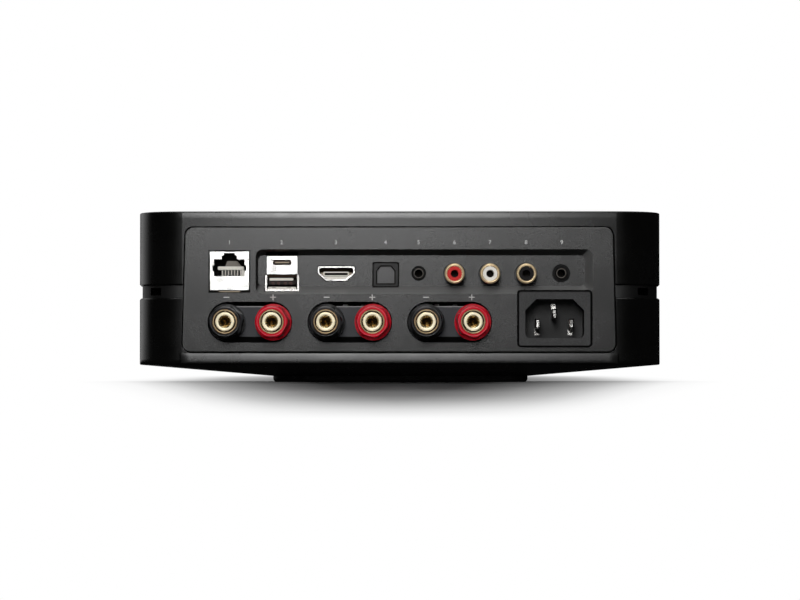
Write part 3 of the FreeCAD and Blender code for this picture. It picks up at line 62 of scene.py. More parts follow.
camera_data = bpy.data.cameras.new("camera")
camera_data.lens = CAMERA_LENS
camera_data.sensor_width = SENSOR_WIDTH
camera_data.clip_start = CLIP_NEAR
camera_data.clip_end = CLIP_FAR
camera = bpy.data.objects.new("camera", camera_data)
camera.location = Vector(CAMERA_PLACE) * MM
camera.rotation_euler = [math.radians(turn) for turn in CAMERA_TURN]
scene.collection.objects.link(camera)
scene.camera = camera
scene.view_settings.view_transform = "Standard"


# The case's walls are upright between two heights and curve in beyond them. Beyond CROWN_SIDE from the
# middle they also bow back a little.

CROWN_TOP = 67.4
CROWN_TOP_RADIUS = 16.0
CROWN_LOW = 9.4
CROWN_LOW_RADIUS = 5.0
CROWN_SIDE = 45.0
CROWN_SIDE_RADIUS = 1300.0

# The flat top mirrors less than the walls. Its gleam fades in between two upward parts of the normal.

TOP_GLEAM = 0.1
TOP_LEVEL = (0.98, 0.998)

# Painted light: faces that look up are painted lighter, standing in for light from above, and faces that
# look to the left by a share of that, standing in for light from the left

PAINTED_LIGHT_UP = (0.3, 0.8)
PAINTED_LIGHT_LEFT = (0.2, 0.5)
PAINTED_LIGHT_LEFT_SHARE = 0.6

# The noises' detail, the part of their range that colour and roughness use, and how deep light scatters

FINE_DETAIL = 3.0
BROAD_DETAIL = 4.0
COLOUR_RANGE = (0.35, 0.65)
ROUGHNESS_RANGE = (0.3, 0.7)
SCATTER_DEPTH = 0.5


class Graph:
    """A material's or the world's nodes, with short calls to add and join them."""

    def __init__(self, owner):
        owner.use_nodes = True
        self.tree = owner.node_tree
        self.tree.nodes.clear()

    def add(self, kind, settings=None, **inputs):
        node = self.tree.nodes.new(kind)
        for name, value in (settings or {}).items():
            setattr(node, name, value)
        for name, value in inputs.items():
            self.put(node, name.replace("_", " "), value)
        return node

    def put(self, node, name, value):
        """A number, a colour or another node's output for the input with that name or number."""
        socket = node.inputs[int(name)] if name.isdigit() else node.inputs[name]
        if isinstance(value, bpy.types.NodeSocket):
            self.tree.links.new(value, socket)
        else:
            socket.default_value = value

    def math(self, operation, first, second=0.0):
        node = self.add("ShaderNodeMath", {"operation": operation})
        self.put(node, "0", first)
        self.put(node, "1", second)
        return node.outputs[0]

    def spread(self, value, low, high, to_low, to_high):
        """Value from low..high spread to to_low..to_high, and held at both ends."""
        node = self.add("ShaderNodeMapRange", {"interpolation_type": "SMOOTHSTEP"})
        self.put(node, "Value", value)
        for name, number in (("From Min", low), ("From Max", high), ("To Min", to_low), ("To Max", to_high)):
            self.put(node, name, number)
        return node.outputs["Result"]

    def mix(self, share, first, second):
        """A colour between two, each a node's output or three numbers."""
        node = self.add("ShaderNodeMix", {"data_type": "RGBA"})
        self.put(node, "0", share)
        for index, colour in (("6", first), ("7", second)):
            self.put(node, index, colour if isinstance(colour, bpy.types.NodeSocket) else (*colour, 1.0))
        return node.outputs[2]

    def dot(self, vector, direction):
        node = self.add("ShaderNodeVectorMath", {"operation": "DOT_PRODUCT"})
        self.put(node, "0", vector)
        self.put(node, "1", direction)
        return node.outputs["Value"]

    def noise(self, where, scale, detail):
        node = self.add("ShaderNodeTexNoise", Scale=scale, Detail=detail)
        self.put(node, "Vector", where)
        return node.outputs["Fac"]

    def normal(self):
        """The three parts of the surface's direction."""
        direction = self.add("ShaderNodeNewGeometry").outputs["Normal"]
        return self.add("ShaderNodeSeparateXYZ", Vector=direction).outputs


def crown(graph, place):
    """The relief of the case's walls, in m: 0 where they are upright, less where they curve in or bow."""
    parts = graph.add("ShaderNodeSeparateXYZ", Vector=place).outputs
    height = parts["Z"]
    sideways = graph.math("ABSOLUTE", parts["X"])
    beside = graph.math("MAXIMUM", graph.math("SUBTRACT", sideways, CROWN_SIDE * MM), 0.0)
    above = graph.math("MAXIMUM", graph.math("SUBTRACT", height, CROWN_TOP * MM), 0.0)
    below = graph.math("MAXIMUM", graph.math("SUBTRACT", CROWN_LOW * MM, height), 0.0)
    bends = ((beside, CROWN_SIDE_RADIUS), (above, CROWN_TOP_RADIUS), (below, CROWN_LOW_RADIUS))
    bow, fall, drop = [graph.math("DIVIDE", graph.math("MULTIPLY", distance, distance), -2 * radius * MM)
                       for distance, radius in bends]
    return graph.math("ADD", bow, graph.math("ADD", fall, drop))


def finish(name, colour, roughness, metallic=0.0, grain=0.3, relief=0.0, mottle=0.0, spread=0.05, blotch=12.0,
           stretch=(1, 1, 1), scatter=0.0, crowned=False, gleam=0.5, painted_recess_shade=None, painted_light=None):
    """A material whose colour, roughness and relief vary.

    grain is the size of its finest texture, relief the depth of that, mottle the share by which the colour
    varies, spread the change of roughness over patches as wide as blotch, and stretch draws the grain out.
    scatter is the share of light that scatters under the surface, crowned gives the case's curved walls, and
    gleam is the specular level. painted_recess_shade is two depths between which the colour is painted
    darker,
    and the share of it that is left: painted shade for the shade deep in a socket's mouth or a post's bore.
    painted_light is a lighter colour painted on faces that look up, and by a share on faces that look to the
    left: painted light for the light from above and from the left.
    """
    material = bpy.data.materials.new(name)
    graph = Graph(material)
    place = graph.add("ShaderNodeTexCoord").outputs["Object"]
    drawn = graph.add("ShaderNodeMapping", Vector=place, Scale=stretch).outputs["Vector"]
    fine = graph.noise(drawn, 1 / (grain * MM), FINE_DETAIL)
    broad = graph.noise(drawn, 1 / (blotch * MM), BROAD_DETAIL)
    shader = graph.add("ShaderNodeBsdfPrincipled")
    darker = [part * (1 - mottle) for part in colour]
    lighter = [min(1.0, part * (1 + mottle)) for part in colour]
    share = graph.math("MULTIPLY", graph.math("ADD", fine, broad), 0.5)
    shade = graph.mix(graph.spread(share, *COLOUR_RANGE, 0.0, 1.0), darker, lighter)
    # Painted shade: the colour is painted darker between two depths, standing in for the shade in a recess
    if painted_recess_shade:
        mouth, bottom, left_over = painted_recess_shade
        depth = graph.add("ShaderNodeSeparateXYZ", Vector=place).outputs["Y"]
        recess_share = graph.spread(depth, mouth * MM, bottom * MM, 0.0, 1.0)
        shade = graph.mix(recess_share, shade, [part * left_over for part in colour])
    # Painted light: faces that look up, and by a share those that look left, are painted lighter
    if painted_light:
        normal = graph.normal()
        leftward = graph.math("MULTIPLY", normal["X"], -1.0)
        lit_share = graph.math("MAXIMUM", graph.spread(normal["Z"], *PAINTED_LIGHT_UP, 0.0, 1.0),
                             graph.spread(leftward, *PAINTED_LIGHT_LEFT, 0.0, PAINTED_LIGHT_LEFT_SHARE))
        shade = graph.mix(lit_share, shade, painted_light)
    graph.put(shader, "Base Color", shade)
    if crowned:
        flat = graph.spread(graph.normal()["Z"], *TOP_LEVEL, 0.0, 1.0)
        gleam = graph.math("SUBTRACT", gleam, graph.math("MULTIPLY", flat, gleam - TOP_GLEAM))
    graph.put(shader, "Specular IOR Level", gleam)
    graph.put(shader, "Roughness",
              graph.spread(broad, *ROUGHNESS_RANGE, roughness - spread, roughness + spread))
    graph.put(shader, "Metallic", metallic)
    if scatter:
        graph.put(shader, "Subsurface Weight", scatter)
        graph.put(shader, "Subsurface Scale", SCATTER_DEPTH * MM)
    if relief:
        bump = graph.add("ShaderNodeBump", Strength=1.0, Distance=relief * MM)
        graph.put(bump, "Height", fine)
        if crowned:
            curve = graph.add("ShaderNodeBump", Strength=1.0, Distance=1.0)
            graph.put(curve, "Height", crown(graph, place))
            graph.put(bump, "Normal", curve.outputs["Normal"])
        graph.put(shader, "Normal", bump.outputs["Normal"])
    output = graph.add("ShaderNodeOutputMaterial")
    graph.put(output, "Surface", shader.outputs["BSDF"])
    return material


# The finishes by name. A material of the frame takes the finish of its own name.

FINISHES = {
    "case_plastic": dict(colour=(0.0018, 0.0018, 0.0017), roughness=0.26, grain=0.35, relief=0.002,
                         mottle=0.15, spread=0.02, crowned=True),
    "lip_plastic": dict(colour=(0.0018, 0.0018, 0.0017), roughness=0.26, grain=0.35, relief=0.002,
                        mottle=0.15, spread=0.02, gleam=0.36),
    # Painted light on the panel's faces that look up or to the left
    "panel_plastic": dict(colour=(0.013, 0.013, 0.0126), roughness=0.25, grain=0.5, relief=0.01, mottle=0.15,
                          spread=0.02, painted_light=(0.2, 0.2, 0.197)),
    "frame_plastic": dict(colour=(0.003, 0.003, 0.003), roughness=0.45, grain=0.4, relief=0.006, mottle=0.2),
    "foot_rubber": dict(colour=(0.004, 0.004, 0.004), roughness=0.62, grain=0.5, relief=0.02, mottle=0.3),
    "touch_gloss": dict(colour=(0.002, 0.002, 0.0025), roughness=0.07, grain=3.0, mottle=0.1, spread=0.03,
                        blotch=25.0),
    "window_dark": dict(colour=(0.008, 0.001, 0.002), roughness=0.08, grain=2.0, mottle=0.2, spread=0.02),
    "circuit_board": dict(colour=(0.008, 0.045, 0.02), roughness=0.4, grain=1.2, relief=0.02, mottle=0.5),
    "steel": dict(colour=(0.5, 0.49, 0.47), roughness=0.34, metallic=1.0, relief=0.004, mottle=0.08),
    "nickel": dict(colour=(0.72, 0.71, 0.69), roughness=0.22, metallic=1.0, grain=0.4, relief=0.003,
                   mottle=0.06, blotch=5.0),
    "gold": dict(colour=(0.83, 0.63, 0.34), roughness=0.2, metallic=1.0, relief=0.003, mottle=0.08,
                 blotch=4.0),
    "aluminium": dict(colour=(0.65, 0.65, 0.66), roughness=0.38, metallic=1.0, relief=0.004, mottle=0.08,
                      stretch=(1, 0.1, 1)),
    "black_plastic": dict(colour=(0.006, 0.006, 0.007), roughness=0.4, relief=0.004, mottle=0.2),
    # Painted light on the block's faces that look up or to the left, which lights up its top bevel
    "block_plastic": dict(colour=(0.022, 0.023, 0.028), roughness=0.42, grain=0.4, relief=0.004, mottle=0.12,
                          gleam=0.3, painted_light=(0.4, 0.4, 0.4)),
    # Painted shade deep in the inlet's cavity
    "inlet_plastic": dict(colour=(0.024, 0.024, 0.0245), roughness=0.5, grain=0.35, relief=0.03, mottle=0.45,
                          gleam=0.35, painted_recess_shade=(-88.5, -87.2, 0.25)),
    "shutter_grey": dict(colour=(0.035, 0.035, 0.036), roughness=0.35, relief=0.003, mottle=0.1),
    "cap_black": dict(colour=(0.003, 0.003, 0.0034), roughness=0.16, grain=0.6, relief=0.002, mottle=0.1,
                      spread=0.04, blotch=6.0, gleam=0.3),
    "cap_red": dict(colour=(0.48, 0.002, 0.014), roughness=0.16, grain=0.6, relief=0.002, mottle=0.08,
                    spread=0.04, blotch=6.0, gleam=0.2, scatter=0.05),
    "insulator_red": dict(colour=(0.5, 0.02, 0.018), roughness=0.4, grain=0.4, mottle=0.06, gleam=0.1),
    "insulator_white": dict(colour=(0.75, 0.73, 0.68), roughness=0.4, grain=0.4, mottle=0.03, gleam=0.1),
    "insulator_black": dict(colour=(0.004, 0.003, 0.003), roughness=0.4, grain=0.4, mottle=0.1, gleam=0.1),
    "ferrite": dict(colour=(0.03, 0.029, 0.028), roughness=0.6, grain=0.5, relief=0.02, mottle=0.2),
    "sleeve": dict(colour=(0.01, 0.01, 0.03), roughness=0.25, grain=0.8, mottle=0.1),
    "chip_black": dict(colour=(0.012, 0.012, 0.012), roughness=0.5, grain=0.25, relief=0.006, mottle=0.15),
    "socket_cream": dict(colour=(0.55, 0.53, 0.46), roughness=0.4, grain=0.4, mottle=0.05, scatter=0.1),
    # Painted shade: black for the pieces laid in the panel's and inlet's seams and under the terminal blocks
    "painted_shade_black": dict(colour=(0.002, 0.002, 0.002), roughness=0.9, relief=0.01, mottle=0.3, gleam=0.05),
    # Black for the sockets' linings, and for the rings laid in seams and grooves as painted shade
    "black_lining_and_shade": dict(colour=(0.003, 0.0025, 0.002), roughness=0.6, relief=0.004, mottle=0.2, gleam=0.05),
    "lining_grey": dict(colour=(0.17, 0.155, 0.135), roughness=0.5, relief=0.004, mottle=0.2, gleam=0.2),
    "print_white": dict(colour=(0.6, 0.6, 0.59), roughness=0.5, grain=0.15, mottle=0.12, gleam=0.2),
    # Painted shade deep in the sockets' metal shells
    "shell_metal": dict(colour=(0.6, 0.59, 0.57), roughness=0.22, metallic=1.0, grain=0.4, relief=0.003,
                        mottle=0.06, blotch=5.0, painted_recess_shade=(-83.7, -82.9, 0.03)),
    # Painted shade deep in the posts' bores
    "post_gold": dict(colour=(0.62, 0.52, 0.32), roughness=0.18, metallic=1.0, relief=0.003, mottle=0.08,
                      blotch=4.0, painted_recess_shade=(-103.1, -102.2, 0.16)),
    "insert_brass": dict(colour=(0.16, 0.095, 0.045), roughness=0.25, metallic=1.0, relief=0.01, mottle=0.3,
                         blotch=2.0),
    # Painted shade deep in the phono barrels' mouths
    "barrel_gold": dict(colour=(0.62, 0.5, 0.3), roughness=0.2, metallic=1.0, relief=0.003, mottle=0.08,
                        blotch=4.0, painted_recess_shade=(-94.6, -94.0, 0.1)),
    # Painted shade: dark for the contacts deep in the sockets, and for the USB tongues
    "bore_dark": dict(colour=(0.012, 0.008, 0.006), roughness=0.5, relief=0.004, mottle=0.3, gleam=0.2),
    "jack_black": dict(colour=(0.003, 0.003, 0.003), roughness=0.5, relief=0.004, mottle=0.2, gleam=0.15),
    "optical_black": dict(colour=(0.008, 0.008, 0.008), roughness=0.35, relief=0.004, mottle=0.15,
                          gleam=0.25),
    "lining_brown": dict(colour=(0.016, 0.008, 0.003), roughness=0.5, relief=0.004, mottle=0.3, gleam=0.08),
    "lining_tan": dict(colour=(0.33, 0.27, 0.19), roughness=0.5, relief=0.004, mottle=0.12, gleam=0.2),
    "lining_light": dict(colour=(0.72, 0.69, 0.62), roughness=0.45, relief=0.004, mottle=0.1, gleam=0.3),
    "contact_pink": dict(colour=(0.05, 0.022, 0.018), roughness=0.4, grain=0.2, mottle=0.3, gleam=0.2),
    "ring_gold": dict(colour=(0.7, 0.54, 0.32), roughness=0.3, metallic=0.6, grain=0.5, mottle=0.05,
                      spread=0.02, blotch=4.0),
    "post_face": dict(colour=(0.92, 0.82, 0.6), roughness=0.35, metallic=0.3, grain=0.5, mottle=0.05,
                      spread=0.02, blotch=4.0),
    "bowl_brass": dict(colour=(0.3, 0.19, 0.07), roughness=0.24, metallic=1.0, grain=0.4, relief=0.003,
                       mottle=0.2, blotch=2.0),
    # Painted highlight: lighter colours for the beads on the caps' front edges
    "edge_grey": dict(colour=(0.07, 0.07, 0.072), roughness=0.2, grain=0.4, mottle=0.3, blotch=3.0),
    "edge_pink": dict(colour=(0.62, 0.10, 0.13), roughness=0.2, grain=0.4, mottle=0.2, blotch=3.0),
}
finishes = {name: finish(name, **settings) for name, settings in FINISHES.items()}

# Nodes with a finish of their own in place of their material's. The contacts deep in the phono, jack and
# network sockets are painted dark: painted shade in place of their metal. The USB tongues are dark too.

NODE_FINISHES = {
    "usb_stack": "shell_metal", "usb_a_shell": "shell_metal", "usb_tongues": "bore_dark",
    "av_shell": "shell_metal", "av_insulator": "lining_brown", "speaker_posts": "post_gold",
    "phono_barrels": "barrel_gold", "phono_contacts": "bore_dark", "jack_contacts": "bore_dark",
    "mini_jack": "jack_black", "remote_jack": "jack_black", "optical_socket": "optical_black",
    "network_insert": "black_lining_and_shade", "network_contacts": "bore_dark",
}
INSERT_COUNT = 6

for number in range(1, INSERT_COUNT + 1):
    NODE_FINISHES["cap_insert_" + str(number)] = "insert_brass"

for name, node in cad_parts.items():
    for part in node.material_slots:
        part.material = finishes[NODE_FINISHES.get(name, part.material.name.split(".")[0])]


# Marks on the panel: a number over each port, and the signs for minus and plus over the posts.
# PANEL_FACE is in m, and FIGURE_SHARE is a figure's height as a share of its font's size.

PANEL_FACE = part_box("rear_panel")[0].y
MARK_DEPTH = 0.06
PORT_XS = (-70.0, -48.5, -26.1, -5.6, 8.0, 22.8, 37.4, 52.3, 67.0)
PORT_NUMBER_Z = 57.5
FIGURE_HEIGHT = 1.7
FIGURE_SHARE = 0.72
POLE_XS = ((-71.2, -52.0), (-29.9, -11.1), (11.1, 29.9))
POLE_Z = 34.9
POLE_WIDTH = 2.5
POLE_STROKE = 0.34
STROKE_END = 0.3
STROKE_STEPS = 3


def printed(name, data):
    """A mark on the panel from its mesh."""
    piece = bpy.data.objects.new(name, data)
    scene.collection.objects.link(piece)
    data.materials.append(finishes["print_white"])
    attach(piece, "chassis")


def plate(name, x, z, width, height):
    """A thin printed bar on the panel, its centre at x, z, with rounded ends."""
    mesh = bmesh.new()
    bmesh.ops.create_cube(mesh, size=1.0)
    for corner in mesh.verts:
        corner.co = Vector((corner.co.x * width, corner.co.y * MARK_DEPTH, corner.co.z * height))
    upright = [edge for edge in mesh.edges if abs(edge.verts[0].co.y - edge.verts[1].co.y) > MARK_DEPTH / 2]
    bmesh.ops.bevel(mesh, geom=upright, offset=min(width, height) * STROKE_END, segments=STROKE_STEPS,
                    affect="EDGES")
    for corner in mesh.verts:
        corner.co = Vector((x + corner.co.x, PANEL_FACE / MM + corner.co.y, z + corner.co.z)) * MM
    data = bpy.data.meshes.new(name)
    mesh.to_mesh(data)
    mesh.free()
    printed(name, data)


def printed_number(number, x):
    """A port's number in plain white figures, its middle over x."""
    text = bpy.data.curves.new("number", "FONT")
    text.body = str(number)
    text.size = FIGURE_HEIGHT * MM / FIGURE_SHARE
    text.extrude = MARK_DEPTH * MM / 2
    text.align_x = "CENTER"
    text.align_y = "CENTER"
    holder = bpy.data.objects.new("number", text)
    scene.collection.objects.link(holder)
    bpy.context.view_layer.update()
    data = bpy.data.meshes.new_from_object(holder.evaluated_get(bpy.context.evaluated_depsgraph_get()))
    bpy.data.objects.remove(holder)
    for corner in data.vertices:
        right, up, out = corner.co
        corner.co = Vector((x * MM + right, PANEL_FACE - out, PORT_NUMBER_Z * MM + up))
    data.materials.clear()
    printed("port_number_" + str(number), data)


for number, x in enumerate(PORT_XS, start=1):
    printed_number(number, x)
for pair, (minus_x, plus_x) in enumerate(POLE_XS, start=1):
    plate("minus_mark_" + str(pair), minus_x, POLE_Z, POLE_WIDTH, POLE_STROKE)
    plate("plus_bar_" + str(pair), plus_x, POLE_Z, POLE_WIDTH, POLE_STROKE)
    plate("plus_upright_" + str(pair), plus_x, POLE_Z, POLE_STROKE, POLE_WIDTH)


# Closed pieces. Outlines are lists of x, z points, and a piece goes from a near to a far level of y.
# The steps are those of a turned piece, of the round section of a thin ring, of a rounded corner and of
# a circle.

TURN_STEPS = 48
BEAD_STEPS = 10
CORNER_STEPS = 6
CIRCLE_STEPS = 40


def closed(name, corners, faces, finish_name, body="chassis"):
    """A closed piece from its corners and faces."""
    data = bpy.data.meshes.new(name)
    data.from_pydata([Vector(corner) * MM for corner in corners], [], faces)
    mesh = bmesh.new()
    mesh.from_mesh(data)
    bmesh.ops.recalc_face_normals(mesh, faces=mesh.faces)
    mesh.to_mesh(data)
    mesh.free()
    piece = bpy.data.objects.new(name, data)
    scene.collection.objects.link(piece)
    data.materials.append(finishes[finish_name])
    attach(piece, body)
    return piece


def tube(name, outer, inner, near, far, finish_name):
    """A ring between two outlines with equal counts."""
    count = len(outer)
    corners = []
    for level in (near, far):
        for outline in (outer, inner):
            corners += [(x, level, z) for x, z in outline]
    faces = []
    for step in range(count):
        after = (step + 1) % count
        for first, second in ((0, 1), (1, 3), (3, 2), (2, 0)):
            faces.append((first * count + step, first * count + after,
                          second * count + after, second * count + step))
    return closed(name, corners, faces, finish_name)


def prism(name, outline, near, far, finish_name, body="chassis"):
    """A solid with one outline."""
    count = len(outline)
    corners = [(x, level, z) for level in (near, far) for x, z in outline]
    faces = [tuple(range(count)), tuple(range(count, 2 * count))]
    for step in range(count):
        after = (step + 1) % count
        faces.append((step, after, count + after, count + step))
    return closed(name, corners, faces, finish_name, body)


def turned(name, x, z, profile, finish_name, body="chassis"):
    """A smooth ring turned about the line through x, z: profile is its closed section as radius and depth."""
    count = len(profile)
    corners = []
    for step in range(TURN_STEPS):
        turn = 2 * math.pi * step / TURN_STEPS
        for radius, depth in profile:
            corners.append((x + radius * math.cos(turn), depth, z + radius * math.sin(turn)))
    faces = []
    for step in range(TURN_STEPS):
        base = step * count
        ahead = (step + 1) % TURN_STEPS * count
        for point in range(count):
            after = (point + 1) % count
            faces.append((base + point, base + after, ahead + after, ahead + point))
    piece = closed(name, corners, faces, finish_name, body)
    for polygon in piece.data.polygons:
        polygon.use_smooth = True


def circle(x, z, radius, steps=CIRCLE_STEPS):
    """Points round a circle, as x and z, or as radius and depth for a ring's section."""
    points = []
    for step in range(steps):
        turn = step * math.pi / (steps / 2)
        points.append((x + radius * math.cos(turn), z + radius * math.sin(turn)))
    return points


def rounded(corners, radius):
    """The outline through the corners, anticlockwise, with each corner rounded."""
    points = []
    for before, corner, after in zip(corners[-1:] + corners[:-1], corners, corners[1:] + corners[:1]):
        corner = Vector(corner)
        back = (Vector(before) - corner).normalized()
        ahead = (Vector(after) - corner).normalized()
        half = back.angle(ahead) / 2
        centre = corner + (back + ahead).normalized() * (radius / math.sin(half))
        start = corner + back * (radius / math.tan(half)) - centre
        sweep = math.pi - 2 * half
        for step in range(CORNER_STEPS + 1):
            turn = sweep * step / CORNER_STEPS
            cosine, sine = math.cos(turn), math.sin(turn)
            points.append((centre.x + start.x * cosine - start.y * sine,
                           centre.y + start.x * sine + start.y * cosine))
    return points


def rectangle(left, right, low, high):
    return [(left, low), (right, low), (right, high), (left, high)]


def cushion(left, right, low, high, radius):
    """A rectangle with rounded corners."""
    return rounded(rectangle(left, right, low, high), radius)


def bar(middle, half_width, heights, radius):
    """A rectangle with rounded corners round a middle x, between two heights."""
    return cushion(middle - half_width, middle + half_width, *heights, radius)


# The lower cover's wall under the panel is crowned, from the opening's edge down. Its section is depth
# and height, and it runs out to both sides beyond LIP_HALF, where the stations are shares of that way.

LIP_HALF = 86.5
LIP_RUN_OUT = 4.0
LIP_STATIONS = (0.0, 0.15, 0.35, 0.6, 0.85, 1.0)
LIP_WALL = -89.45
LIP_PROFILE = ((-89.1, 11.98), (-89.4, 11.97), (-89.53, 11.9), (-89.57, 11.82), (-89.61, 11.54),
               (-89.66, 11.12), (-89.695, 10.7), (-89.722, 10.3), (-89.746, 9.9), (-89.771, 9.48),
               (-89.791, 9.07), (-89.803, 8.65), (-89.803, 8.24), (-89.785, 7.83), (-89.755, 7.62),
               (-89.68, 7.5), (-89.5, 7.42), (-89.1, 7.4))


def lip():
    """A bar with the lip's section, drawn in at both ends so that it runs out in the wall."""
    stations = [(LIP_HALF + LIP_RUN_OUT * (1 - share), math.sin(share * math.pi / 2))
                for share in LIP_STATIONS]
    places = [(-x, rise) for x, rise in stations] + [(x, rise) for x, rise in reversed(stations)]
    count = len(LIP_PROFILE)
    corners = []
    for x, rise in places:
        for depth, height in LIP_PROFILE:
            proud = max(0.0, LIP_WALL - depth)
            corners.append((x, depth + proud * (1 - rise), height))
    faces = [tuple(range(count)), tuple(range(len(corners) - count, len(corners)))]
    for station in range(len(places) - 1):
        base = station * count
        for point in range(count):
            after = (point + 1) % count
            faces.append((base + point, base + after, base + count + after, base + count + point))
    piece = closed("cover_lip", corners, faces, "lip_plastic")
    for polygon in piece.data.polygons:
        polygon.use_smooth = len(polygon.vertices) == 4


lip()


# The seam round the rear panel, from the panel's half widths, its edges and its corners. A black ring lies
# in it: painted shade for the shade in the gap.

PANEL_LOW_HALF = 89.3
PANEL_HIGH_HALF = 88.1
PANEL_LOW = 12.4
PANEL_HIGH = 63.7
PANEL_CORNER = 3.5


def panel_line(grow, lift=0.0):
    """The rear panel's outline, grown, with its lower edge lifted."""
    low_half = PANEL_LOW_HALF + grow
    high_half = PANEL_HIGH_HALF + grow
    low = PANEL_LOW + lift - grow
    high = PANEL_HIGH + grow
    return rounded([(-low_half, low), (low_half, low), (high_half, high), (-high_half, high)],
                   PANEL_CORNER + grow)


# A black ring in the panel's seam: painted shade
tube("panel_seam_shade", panel_line(0.47), panel_line(0.03, lift=0.55), -88.3, -86.9, "painted_shade_black")


# The network socket: back, ledge, latch ramp, stop, comb over the contacts, a black seam ring round the
# shell as painted shade for the gap there, lip below the shell

NETWORK_LINE = [(-76.3, 43.65), (-63.7, 43.65), (-63.7, 45.65), (-63.1, 45.65), (-63.1, 48.05),
                (-63.7, 48.05), (-63.7, 50.55), (-66.85, 50.55), (-66.85, 52.15), (-67.75, 52.15),
                (-67.75, 53.9), (-72.25, 53.9), (-72.25, 52.15), (-73.15, 52.15), (-73.15, 50.55),
                (-76.3, 50.55), (-76.3, 48.05), (-76.9, 48.05), (-76.9, 45.65), (-76.3, 45.65)]
NETWORK_RAMP = [(-72.2, 47.8), (-65.4, 47.8), (-67.2, 50.1), (-71.2, 50.1)]
NETWORK_DEEP = -79.0
TOOTH_COUNT = 7
TOOTH_FIRST = -73.2
TOOTH_PITCH = 1.25
TOOTH_HALF = 0.2
TOOTH_HEIGHTS = (43.7, 46.2)
SHELL_FRONT = -89.5

prism("network_back", NETWORK_LINE, NETWORK_DEEP, -78.6, "black_lining_and_shade")
for name, outline, near, look in (
        ("network_ledge", cushion(-75.1, -64.4, 46.4, 47.8, 0.3), -84.5, "lining_light"),
        ("network_ramp", NETWORK_RAMP, -83.0, "lining_grey"),
        ("network_stop", cushion(-65.3, -63.9, 43.7, 46.2, 0.2), -85.0, "lining_light")):
    prism(name, outline, near, NETWORK_DEEP, look)
for tooth in range(TOOTH_COUNT):
    outline = bar(TOOTH_FIRST + tooth * TOOTH_PITCH, TOOTH_HALF, TOOTH_HEIGHTS, 0.1)
    prism("network_tooth_" + str(tooth + 1), outline, -84.8, NETWORK_DEEP, "lining_light")
outer = rectangle(-78.6, -61.4, 36.85, 54.35)
inner = rectangle(-78.0, -61.95, 37.9, 53.75)
tube("network_seam", outer, inner, -89.9, SHELL_FRONT, "black_lining_and_shade")
prism("network_lip", cushion(-74.3, -65.6, 37.05, 37.5, 0.15), -90.0, SHELL_FRONT, "lining_tan")


# The USB stack: its block in three pieces, the type C mouth's throat and tongue, the type A socket's inside

USB_EDGES = (-54.8, -42.2)
USB_PARTING = 44.6
USB_TOP = 52.1
USB_CORNER = 0.45
USB_FACE = -83.9
USB_THROAT_END = -77.0
USB_BODY_START = -69.9
TYPE_C = (-48.5, 49.5)
CONTACT_XS = (-52.3, -50.0, -47.2, -44.9)
CONTACT_HALF = 0.62
CONTACT_HEIGHTS = (40.3, 41.5)
SLIT_XS = (-51.9, -45.7)
SLIT_HALF = 0.8
SLIT_HEIGHTS = (39.0, 39.2)


def type_c(half_width, half_height, radius):
    """An outline round the middle of the type C mouth."""
    x, z = TYPE_C
    return cushion(x - half_width, x + half_width, z - half_height, z + half_height, radius)


usb_low, usb_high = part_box("usb_stack")
block_line = cushion(*USB_EDGES, USB_PARTING, USB_TOP, USB_CORNER)
body_line = cushion(*USB_EDGES, usb_low.z / MM, USB_TOP, USB_CORNER)
usb_block = tube("usb_block", block_line, type_c(3.85, 1.08, 1.0), USB_FACE, USB_THROAT_END, "shell_metal")
prism("usb_body", body_line, USB_BODY_START, usb_high.y / MM, "shell_metal")
prism("usb_bridge", block_line, USB_THROAT_END, USB_BODY_START, "shell_metal")
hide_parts("usb_stack")
tube("type_c_throat", type_c(3.84, 1.07, 1.0), type_c(3.3, 0.55, 0.5), -83.6, -77.1, "lining_brown")
for name, outline, near, far, look in (
        ("type_c_tongue", type_c(2.95, 0.26, 0.15), -83.5, -77.1, "lining_tan"),
        ("type_a_bar", cushion(-53.7, -44.0, 42.0, 43.0, 0.2), -84.0, -78.0, "lining_light"),
        ("type_a_back", cushion(-54.6, -42.4, 38.5, 43.3, 0.3), -79.0, -78.6, "black_lining_and_shade"),
        ("type_a_sill", cushion(-54.3, -42.8, 38.36, 39.35, 0.3), USB_FACE, -80.0, "lining_light"),
        ("type_a_brow", cushion(-54.7, -42.3, 43.35, 44.3, 0.2), -84.35, USB_FACE, "lining_brown")):
    prism(name, outline, near, far, look)
for contact, x in enumerate(CONTACT_XS, start=1):
    outline = bar(x, CONTACT_HALF, CONTACT_HEIGHTS, 0.3)
    prism("type_a_contact_" + str(contact), outline, -83.95, -80.0, "contact_pink")
for slit, x in enumerate(SLIT_XS, start=1):
    outline = bar(x, SLIT_HALF, SLIT_HEIGHTS, 0.08)
    prism("type_a_slit_" + str(slit), outline, -83.97, -83.5, "lining_brown")


# The D-shaped socket: light floor, tan back, light tongue with its dark slot, and a black seam ring round
# the shell as painted shade for the gap there

AV_FLOOR = [(-31.6, 43.2), (-29.9, 42.45), (-22.3, 42.45), (-20.6, 43.2), (-20.3, 43.7), (-31.9, 43.7)]
AV_BACK = [(-32.6, 45.3), (-19.6, 45.3), (-20.6, 43.9), (-31.6, 43.9)]
AV_MIDDLE = (-26.1, 44.9)
AV_SHAPE = ((-7.0, 3.0), (-7.6, 2.4), (-7.6, 0.1), (-4.2, -3.0),
            (4.2, -3.0), (7.6, 0.1), (7.6, 2.4), (7.0, 3.0))
AV_HALF_WIDTH = 7.6
AV_HALF_HEIGHT = 3.0
AV_DEEP = -80.0


def av_line(grow):
    """The shell's outline, grown."""
    x, z = AV_MIDDLE
    wider = 1 + grow / AV_HALF_WIDTH
    taller = 1 + grow / AV_HALF_HEIGHT
    return [(x + across * wider, z + up * taller) for across, up in AV_SHAPE]


